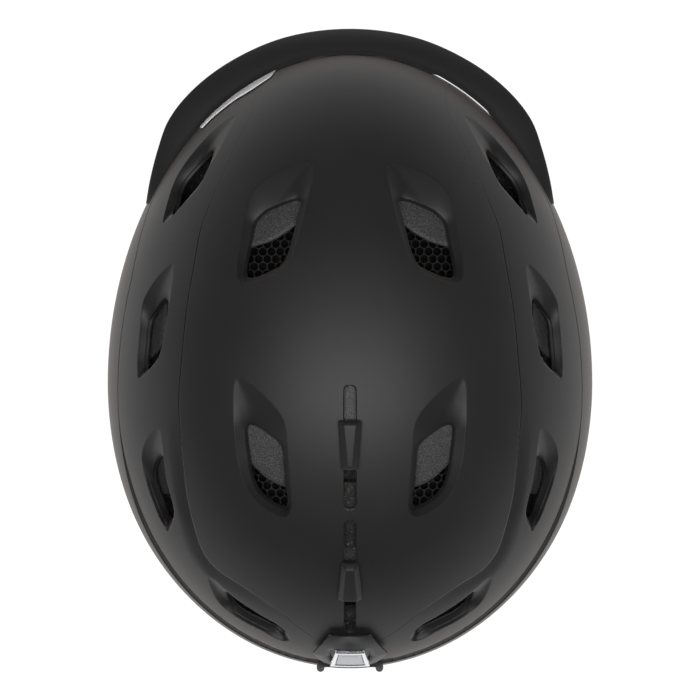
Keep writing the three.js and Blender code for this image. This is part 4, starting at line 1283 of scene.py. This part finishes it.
@dataclass
class GoggleClip:
    """The lever at the back with its bright plate, on a base with an elastic loop."""

    lever: Pairs = ((9.2, 91), (12.8, 83), (16.5, 74), (14.6, 69), (11.3, 63))
    badge: Pairs = ((6, 81), (7.2, 74), (8.4, 66.5))
    field: Pairs = ((4.7, 79.4), (5.9, 68.3))
    cord: Pairs = ((13.3, 47), (12.6, 57), (10, 60.2), (4, 60.4))

    def build(self) -> None:
        """Makes the lever, the plate, the base and the loop."""
        self._lever()
        self._plate()
        softened("goggle_clip_base", Finish.PLASTIC, size=0.3)
        self._loop()

    @staticmethod
    def _half(points: Pairs, z: Points) -> Points:
        """Half the width at a height, along straight sides."""
        line = np.array(points[::-1], float)
        return np.interp(z, line[:, 1], line[:, 0])

    def _slab(
        self, points: Pairs, foot: float, top: Callable[[Points, Points], Points], cells: int
    ) -> bmesh.types.BMesh:
        """A plate on the back of the shell with its own relief on top.

        Args:
            points: the left side, from the top down, as x and z.
            foot: how far its underside stands off the shell.
            top: how far its top stands off, by place across (-1 to 1) and down (0 to 1).
            cells: cells along its height.

        Returns:
            The closed plate.
        """
        high, low = points[0][1], points[-1][1]
        bm = bmesh.new()
        bmesh.ops.create_grid(bm, x_segments=cells, y_segments=cells, size=0.5)
        bmesh.ops.solidify(bm, geom=bm.faces[:], thickness=1.0)
        flat = coords(bm.verts)
        across, down = 2 * flat[:, 0], 0.5 - flat[:, 1]
        above = flat[:, 2] > -0.5
        z = high + (low - high) * down
        at = SHELL.behind(0.0, np.column_stack([across * self._half(points, z), z]))
        stand = np.where(above, top(across, down), foot)
        move_to(bm.verts, at + SHELL.outward(0.0, at) * stand[:, None])
        return bm

    def _lever(self) -> None:
        """A satin wedge with a thumb hollow, side wings and a narrow slot."""

        def top(a: Points, d: Points) -> Points:
            """Height of the lever's face."""
            crown = 4.4 - 1.2 * np.abs(a) ** 2.5 - 1.1 * np.clip(1 - d / 0.3, 0, 1) ** 2
            hollow = 1.1 * np.exp(-((a / 0.42) ** 2) - ((d - 0.14) / 0.16) ** 2)
            groove = 0.9 * np.exp(-(((np.abs(a) - 0.66 + 0.18 * d) / 0.07) ** 2)) * eased((d - 0.3) / 0.1)
            seat = 0.5 * (np.abs(a) < 0.56) * (d > 0.32)
            return crown - hollow - groove * (1 - eased((d - 0.86) / 0.1)) - seat

        bm = ease_edges(self._slab(self.lever, 2.35, top, 64), 0.4, 2, 50)
        Piece("clip_lever_wedge", Finish.PLASTIC, "goggle_clip", ("goggle_clip_lever",), 40).make(bm)

    def _plate(self) -> None:
        """The bright trapezoid with a raised rim and a brushed field."""

        def top(a: Points, d: Points) -> Points:
            """Height of the plate's face."""
            rim = np.maximum(np.abs(a), np.abs(2 * d - 1))
            return 4.75 + 0.65 * eased((rim - 0.76) / 0.12)

        bm = ease_edges(self._slab(self.badge, 4.0, top, 48), 0.22, 2, 50)
        Piece("clip_plate", Finish.CHROME, "goggle_clip", ("clip_badge",), 40).make(bm)

        def face(a: Points, d: Points) -> Points:
            """Height of the brushed face, with a narrow slot at its top."""
            return 5.0 - 0.25 * np.exp(-(((d - 0.12) / 0.07) ** 2)) * (np.abs(a) < 0.8)

        bm = ease_edges(self._slab(self.field, 4.4, face, 40), 0.15, 2, 50)
        Piece("clip_face", Finish.STEEL, "goggle_clip", sharp=40).make(bm)

    def _loop(self) -> None:
        """The elastic loop, with round rubber ends."""
        face = np.array([*self.cord, *[(-x, z) for x, z in reversed(self.cord)]])
        at = SHELL.behind(0.0, face)
        at = at + SHELL.outward(0.0, at) * 2.5
        at[[0, -1], 1] += 0.7
        bm = tube(curve_through(at, 120, False), 1.8, 20)
        Piece("clip_cord", Finish.RUBBER, stands_for=("goggle_cord",), sharp=60).make(bm)


def tube(line: Points, radius: float, sides: int = 16) -> bmesh.types.BMesh:
    """A round bar with domed ends along a line."""
    run = np.linspace(0, 1, len(line))
    way = np.gradient(line, axis=0)
    way /= np.linalg.norm(way, axis=1, keepdims=True)
    length = np.linalg.norm(np.diff(line, axis=0), axis=1).sum()

    def place(u: Points, v: Points) -> Points:
        """A point on the bar."""
        at = np.column_stack([np.interp(u, run, line[:, k]) for k in range(3)])
        ahead = np.column_stack([np.interp(u, run, way[:, k]) for k in range(3)])
        across = np.cross(ahead, [0.0, 0.32, 0.95])
        across /= np.linalg.norm(across, axis=1, keepdims=True)
        up = np.cross(across, ahead)
        end = np.minimum(u, 1 - u) * length
        thick = radius * np.sqrt(np.clip(1 - (1 - np.clip(end / radius, 0.02, 1)) ** 2, 0, 1))
        turn = 2 * math.pi * v
        return at + (across * np.cos(turn)[:, None] + up * np.sin(turn)[:, None]) * thick[:, None]

    return surface(len(line), sides, place)


# ---------------------------------------------------------------------------- padded pieces


def superellipse(points: Points, power: float) -> Points:
    """Points of a unit disc moved out to a rounded square, or left for a power of 2."""
    turn = np.arctan2(points[:, 1], points[:, 0])
    reach = (np.abs(np.cos(turn)) ** power + np.abs(np.sin(turn)) ** power) ** (-1 / power)
    return points * reach[:, None]


@dataclass
class Pillow:
    """A padded piece: a sewn case over foam, swollen as cloth."""

    name: str
    node: str
    place: Callable[[Points], Points]
    body: str = "helmet"
    finish: Finish = Finish.FABRIC
    voxel: float = 2.6
    swell: float = 2.0
    square: float = 5.0
    channels: Depth | None = None
    piping: float = 0.9
    fill: float = 0.6

    def build(self) -> bpy.types.Object:
        """Makes the pad and the piping round its seam."""
        pad = self._case()
        self._inflate(pad)
        if self.channels:
            self._press(pad)
        rounder = pad.modifiers.new("Smooth", "SUBSURF")
        rounder.levels = rounder.render_levels = 1
        Piece(self.name, self.finish, self.body, (self.node,)).settle(pad)
        self._pipe()
        return pad

    def _seam(self, count: int = 160) -> Points:
        """The seam's points, in millimetres."""
        turn = np.linspace(0, 2 * math.pi, count, endpoint=False)
        disc = np.column_stack([np.cos(turn), np.sin(turn)])
        return self.place(np.column_stack([superellipse(disc, self.square), np.zeros(count)]))

    def _case(self) -> bpy.types.Object:
        """The case before it swells, from a boxy ball."""
        bm = bmesh.new()
        bmesh.ops.create_uvsphere(bm, u_segments=96, v_segments=32, radius=1.0)
        p = coords(bm.verts)
        flat = np.linalg.norm(p[:, :2], axis=1)
        wide = p[:, :2] / np.maximum(flat, 1e-9)[:, None] * (np.clip(flat, 0, 1) ** 0.55)[:, None]
        deep = np.sign(p[:, 2]) * np.abs(p[:, 2]) ** 0.62
        move_to(bm.verts, self.place(np.column_stack([superellipse(wide, self.square), deep * 0.86])) * MM)
        bmesh.ops.recalc_face_normals(bm, faces=bm.faces[:])
        mesh = bpy.data.meshes.new(self.name)
        bm.to_mesh(mesh)
        bm.free()
        pad = bpy.data.objects.new(self.name, mesh)
        bpy.context.scene.collection.objects.link(pad)
        remesh = pad.modifiers.new("Even", "REMESH")
        remesh.mode, remesh.voxel_size, remesh.use_smooth_shade = "VOXEL", self.voxel * MM, True
        self._apply(pad)
        return pad

    @staticmethod
    def _apply(pad: bpy.types.Object) -> None:
        """Turns the pad's modifiers into its mesh."""
        graph = bpy.context.evaluated_depsgraph_get()
        done = bpy.data.meshes.new_from_object(pad.evaluated_get(graph))
        pad.modifiers.clear()
        pad.data = done

    def _inflate(self, pad: bpy.types.Object) -> None:
        """Swells the case as cloth held along its seam."""
        before = np.array([v.co for v in pad.data.vertices])
        tree = KDTree(160)
        for i, co in enumerate(self._seam()):
            tree.insert(co * MM, i)
        tree.balance()
        held = [i for i, co in enumerate(before) if tree.find(co)[2] < 0.8 * self.voxel * MM]
        pad.vertex_groups.new(name="seam").add(held, 1.0, "REPLACE")
        cloth = pad.modifiers.new("Cloth", "CLOTH").settings
        cloth.use_pressure, cloth.uniform_pressure_force = True, 4.0
        cloth.vertex_group_mass = "seam"
        cloth.effector_weights.gravity = 0.0
        for frame_number in range(1, 21):
            bpy.context.scene.frame_set(frame_number)
        self._apply(pad)
        after = np.array([v.co for v in pad.data.vertices])
        move = after - before
        far = np.linalg.norm(move, axis=1, keepdims=True)
        move *= np.minimum(1.0, self.swell * MM / np.maximum(far, 1e-9))
        pad.data.vertices.foreach_set("co", (before + move).ravel())
        bpy.context.scene.frame_set(1)

    def _press(self, pad: bpy.types.Object) -> None:
        """Draws in the sewn channels."""
        p = np.array([v.co for v in pad.data.vertices]) / MM
        n = np.array([v.normal for v in pad.data.vertices])
        pad.data.vertices.foreach_set("co", ((p - n * self.channels(p)[:, None]) * MM).ravel())

    def _pipe(self) -> None:
        """The bound edge along the seam."""
        line = self._seam(200)
        ahead = np.roll(line, -1, axis=0) - np.roll(line, 1, axis=0)
        ahead /= np.linalg.norm(ahead, axis=1, keepdims=True)
        out = line - line.mean(axis=0)
        out -= ahead * (out * ahead).sum(axis=1, keepdims=True)
        out /= np.linalg.norm(out, axis=1, keepdims=True)
        up = np.cross(ahead, out)

        def place(u: Points, v: Points) -> Points:
            """A point on the binding, which closes on itself."""
            i = np.round(u * len(line)).astype(int) % len(line)
            turn = 2 * math.pi * v
            return line[i] + (out[i] * np.cos(turn)[:, None] + up[i] * np.sin(turn)[:, None]) * self.piping

        bm = surface(len(line), 10, place)
        Piece(f"{self.name}_binding", Finish.FABRIC, self.body, sharp=60).make(bm)


def wall_place(turn: Span, height: Span, inset: Span) -> Callable[[Points], Points]:
    """Lays a unit pillow on the cavity's wall.

    Args:
        turn: from and to, in degrees from the front.
        height: lowest and highest.
        inset: depths of its back and its face.

    Returns:
        The function that places it.
    """

    def place(p: Points) -> Points:
        """Places unit points."""
        phi = np.radians(np.interp(p[:, 0], (-1, 1), turn))
        z = np.interp(p[:, 1], (-1, 1), height)
        return CAVITY.round_at(np.interp(p[:, 2], (-1, 1), inset), phi, z)

    return place


def ceiling_place(across: Span, along: Span) -> Callable[[Points], Points]:
    """Lays a unit pillow under the cavity's crown, over a box in plan."""

    def place(p: Points) -> Points:
        """Places unit points."""
        plan = np.column_stack([np.interp(p[:, 0], (-1, 1), across), np.interp(p[:, 1], (-1, 1), along)])
        foot = CAVITY.above(0.0, plan)
        return foot - CAVITY.outward(0.0, foot) * np.interp(p[:, 2], (-1, 1), (1.4, 6.2))[:, None]

    return place


@dataclass
class Liner:
    """The impact foam and the comfort pads inside it."""

    skin: Span = (3.5, 8.9)

    def build(self) -> None:
        """Makes the foam and the six pads fixed to it."""
        softened("impact_foam", Finish.FOAM, size=0.5, segments=1)
        brow = wall_place((-62, 62), (40, 66), self.skin)
        Pillow("brow_cushion", "brow_pad", brow, channels=self._ribs).build()
        self._crown("middle", (-15, 15), (-66, 52))
        for side, sign in SIDES.items():
            self._crown(side, (25, 53) if sign > 0 else (-53, -25), (-52, 38))
            turn = (70, 128) if sign > 0 else (-128, -70)
            Pillow(f"side_cushion_{side}", f"side_pad_{side}", wall_place(turn, (50, 70), self.skin)).build()

    @staticmethod
    def _crown(spot: str, across: Span, along: Span) -> None:
        """One of the mesh-faced pads under the crown."""
        place = ceiling_place(across, along)
        Pillow(f"crown_cushion_{spot}", f"crown_pad_{spot}", place, finish=Finish.MESH).build()

    @staticmethod
    def _ribs(p: Points) -> Points:
        """Depth of the brow pad's five sewn lines."""
        turn = np.degrees(np.arctan2(p[:, 0], -(p[:, 1] + 8)))
        off = np.abs((turn + 12) % 24 - 12)
        return 0.9 * np.exp(-((off / 1.1) ** 2)) * (np.abs(turn) < 56)


@dataclass
class FitSystem:
    """The band, the cradle that closes on the nape, and its dial."""

    def build(self) -> None:
        """Makes the fit system's pieces."""
        softened("fit_band", Finish.PLASTIC, size=0.3)
        softened("rear_cradle", Finish.PLASTIC, "cradle", 0.5)
        softened("dial_housing", Finish.PLASTIC, "cradle", 0.8, 3)
        softened("fit_dial", Finish.RUBBER, "dial", 0.25)
        Pillow("nape_cushion", "nape_pad", wall_place((156, 204), (-40, -2), (9.9, 14.6)), "cradle").build()


@dataclass
class EarPads:
    """Two padded ear cups on clip-in frames."""

    outline: Pairs = ((-46, 22), (-20, 20), (8, 15), (32, 5.5), (51, -5), (48, -20), (38, -44), (22, -59), (2, -62),
                      (-16, -52), (-32, -28), (-44, 2))
    middle: Span = (3.0, -18.0)
    thick: float = 15.0

    def build(self) -> None:
        """Makes both sides."""
        for side, sign in SIDES.items():
            place = self._place(sign)
            Pillow(
                f"ear_cushion_{side}", f"ear_pad_{side}", place, f"ear_{side}", voxel=3.4, swell=2.5,
                square=2.0, channels=self._cup, piping=1.1,
            ).build()
            softened(f"ear_pad_frame_{side}", Finish.PLASTIC, f"ear_{side}", 0.45)

    def _place(self, sign: float) -> Callable[[Points], Points]:
        """Lays a unit disc pillow in the ear pad's side-view outline."""
        line = curve_through(self.outline, 240, True) - np.array(self.middle)
        turns = np.arctan2(line[:, 1], line[:, 0])
        order = np.argsort(turns)
        turns, reach = turns[order], np.linalg.norm(line, axis=1)[order]

        def place(p: Points) -> Points:
            """Places unit points."""
            turn = np.arctan2(p[:, 1], p[:, 0])
            size = np.linalg.norm(p[:, :2], axis=1) * np.interp(turn, turns, reach, period=2 * math.pi)
            y, z = self.middle[0] + size * np.cos(turn), self.middle[1] + size * np.sin(turn)
            x = self._inner(z) + (0.5 + 0.5 * p[:, 2]) * self.thick
            return np.column_stack([x * sign, y, z])

        return place

    @staticmethod
    def _inner(z: Points) -> Points:
        """How far off the middle the pad's leaning inner face is at a height."""
        return 82 + (z - 22) * 0.098

    def _cup(self, p: Points) -> Points:
        """Depth of the hollow over the ear and of the ring sewn round it."""
        gap = np.hypot((p[:, 1] - self.middle[0]) / 26, (p[:, 2] - self.middle[1]) / 24)
        inside = np.abs(p[:, 0]) < self._inner(p[:, 2]) + 0.5 * self.thick
        return inside * (3.0 * (1 - eased((gap - 0.5) / 0.5)) + 0.9 * np.exp(-(((gap - 1.02) / 0.06) ** 2)))


@dataclass
class ChinStrap:
    """Webbing on both sides, its hardware, and the padded strap under the chin."""

    width: float = 18.0
    thick: float = 1.6
    fork: float = -79.3
    chin: float = -118.0

    def build(self) -> None:
        """Makes the strap."""
        for side, sign in SIDES.items():
            self._side(side, sign)
            for end in ("front", "rear"):
                softened(f"strap_anchor_{end}_{side}", Finish.STEEL, size=0.4, segments=3)
            softened(f"strap_divider_{side}", Finish.PLASTIC, size=0.9, segments=3)
            softened(f"buckle_magnet_{side}", Finish.STEEL, f"chin_strap_{side}", 0.3)
        softened("buckle_base", Finish.PLASTIC, "chin_strap_left", 0.9, 3)
        softened("buckle_slide", Finish.PLASTIC, "chin_strap_right", 0.9, 3)
        Pillow(
            "chin_cushion", "chin_pad", self._chin, "chin_strap_left", voxel=2.4, swell=1.5,
            square=3.6, channels=self._quilt,
        ).build()

    def _chin(self, p: Points) -> Points:
        """Places the chin pad's unit pillow inside the left strap."""
        return np.column_stack([65.9 + p[:, 2] * 3.1, 6 + p[:, 0] * 13, self.chin + p[:, 1] * 27])

    def _quilt(self, p: Points) -> Points:
        """Depth of the chin pad's sewn lines."""
        up = p[:, 2] - self.chin
        off = np.abs((up + 6.5) % 13 - 6.5)
        return 0.7 * np.exp(-((off / 0.9) ** 2)) * (np.abs(up) < 23)

    def _side(self, side: str, sign: float) -> None:
        """The webbing of one side."""
        low = self.fork - (84 if sign > 0 else 60)
        legs = {"front": ((75.6, -36, 33), (70.9, 1.4, -67)), "rear": ((68.6, 38, 31), (70.1, 10.6, -67))}
        for end, (top, foot) in legs.items():
            bm = self._web(np.array([top, foot], float) * (sign, 1, 1), self.width * 0.9)
            Piece(f"web_{end}_{side}", Finish.WEBBING, stands_for=(f"strap_{end}_{side}",), sharp=50).make(bm)
        hang = np.array([(70.5, 6, self.fork), (70.5, 6, low)]) * (sign, 1, 1)
        bm = self._web(hang, self.width)
        Piece(f"web_lower_{side}", Finish.WEBBING, f"chin_strap_{side}", (f"strap_lower_{side}",), 50).make(bm)

    def _web(self, ends: Points, width: float) -> bmesh.types.BMesh:
        """A flat web between two points, thin across the head."""
        along = ends[1] - ends[0]
        length = float(np.linalg.norm(along))
        across = np.array([0.0, -along[2], along[1]])
        across /= np.linalg.norm(across)
        out = np.cross(along / length, across)

        def place(u: Points, v: Points) -> Points:
            """A point on the web: v runs round its flat section."""
            turn = 2 * math.pi * v
            wide = np.sign(np.cos(turn)) * np.abs(np.cos(turn)) ** 0.35 * width / 2
            deep = np.sign(np.sin(turn)) * np.abs(np.sin(turn)) ** 0.6 * self.thick / 2
            return ends[0] + along * u[:, None] + across * wide[:, None] + out * deep[:, None]

        return surface(60, 28, place, wrap=(length * MM, 2 * width * MM))


# ---------------------------------------------------------------------------- studio


@dataclass
class Studio:
    """Camera straight above, pale floor and soft lights."""

    height: float = 2.43
    lens: float = 265.3

    def build(self) -> None:
        """Sets everything up."""
        self._camera()
        self._floor()
        self._lights()
        self._world()
        bpy.context.scene.view_settings.view_transform = "Standard"

    def _camera(self) -> None:
        """A long lens looking straight down, with the brim at the top of the frame."""
        data = bpy.data.cameras.new("camera")
        data.lens, data.sensor_width = self.lens, 36.0
        camera = bpy.data.objects.new("camera", data)
        camera.location = (0.0, -0.0154, self.height)
        camera.rotation_euler = (0.0, 0.0, math.pi)
        bpy.context.scene.collection.objects.link(camera)
        bpy.context.scene.camera = camera

    def _floor(self) -> None:
        """A pale floor under the strap's lowest point."""
        bm = bmesh.new()
        bmesh.ops.create_grid(bm, x_segments=2, y_segments=2, size=4.0)
        mesh = bpy.data.meshes.new("floor")
        bm.to_mesh(mesh)
        bm.free()
        floor = bpy.data.objects.new("floor", mesh)
        floor.location = (0.0, 0.0, CAD_BOX[0][2] - 0.001)
        bpy.context.scene.collection.objects.link(floor)
        grey = (0.12, 0.12, 0.12, 1.0)
        paint = Paint("pale_floor").set(Base_Color=grey, Roughness=0.9, Specular_IOR_Level=0.1)
        paint.set(Emission_Color=(1.0, 1.0, 1.0, 1.0), Emission_Strength=1.0)
        mesh.materials.append(paint.material)

    def _lights(self) -> None:
        """A wide soft box overhead and one low in front."""
        self._box("top", (0.0, 0.12, 1.75), (2.0, 0.45), 30.0)
        self._box("front", (0.0, -1.6, 0.75), (0.7, 0.7), 0.35)

    @staticmethod
    def _box(name: str, at: tuple[float, float, float], size: tuple[float, float], power: float) -> None:
        """A flat light aimed at the helmet's middle."""
        data = bpy.data.lights.new(name, "AREA")
        data.shape, data.size, data.size_y, data.energy = "RECTANGLE", *size, power
        lamp = bpy.data.objects.new(name, data)
        lamp.location = at
        lamp.rotation_euler = (-Vector(at)).to_track_quat("-Z", "Y").to_euler()
        bpy.context.scene.collection.objects.link(lamp)

    @staticmethod
    def _world() -> None:
        """Soft surroundings, a little brighter near the horizon than overhead."""
        world = bpy.data.worlds.new("surroundings")
        world.use_nodes = True
        tree = world.node_tree
        background = tree.nodes["Background"]
        place = tree.nodes.new("ShaderNodeTexCoord")
        split = tree.nodes.new("ShaderNodeSeparateXYZ")
        fade = tree.nodes.new("ShaderNodeMapRange")
        fade.interpolation_type = "SMOOTHSTEP"
        for name, value in (("From Min", 0.02), ("From Max", 0.32), ("To Min", 0.62), ("To Max", 0.42)):
            fade.inputs[name].default_value = value
        tree.links.new(place.outputs["Generated"], split.inputs[0])
        tree.links.new(split.outputs[2], fade.inputs[0])
        tree.links.new(fade.outputs[0], background.inputs["Strength"])
        bpy.context.scene.world = world


def main() -> None:
    """Builds the helmet's looks and the studio."""
    logging.basicConfig(level=logging.INFO, format="%(name)s: %(message)s")
    Studio().build()
    shell_side = (Shells, Brim, Shutters, Honeycomb, GoggleClip)
    head_side = (Liner, FitSystem, EarPads, ChinStrap)
    for assembly in shell_side + head_side:
        LOG.info("building %s", assembly.__name__)
        assembly().build()


if __name__ == "__main__":
    main()
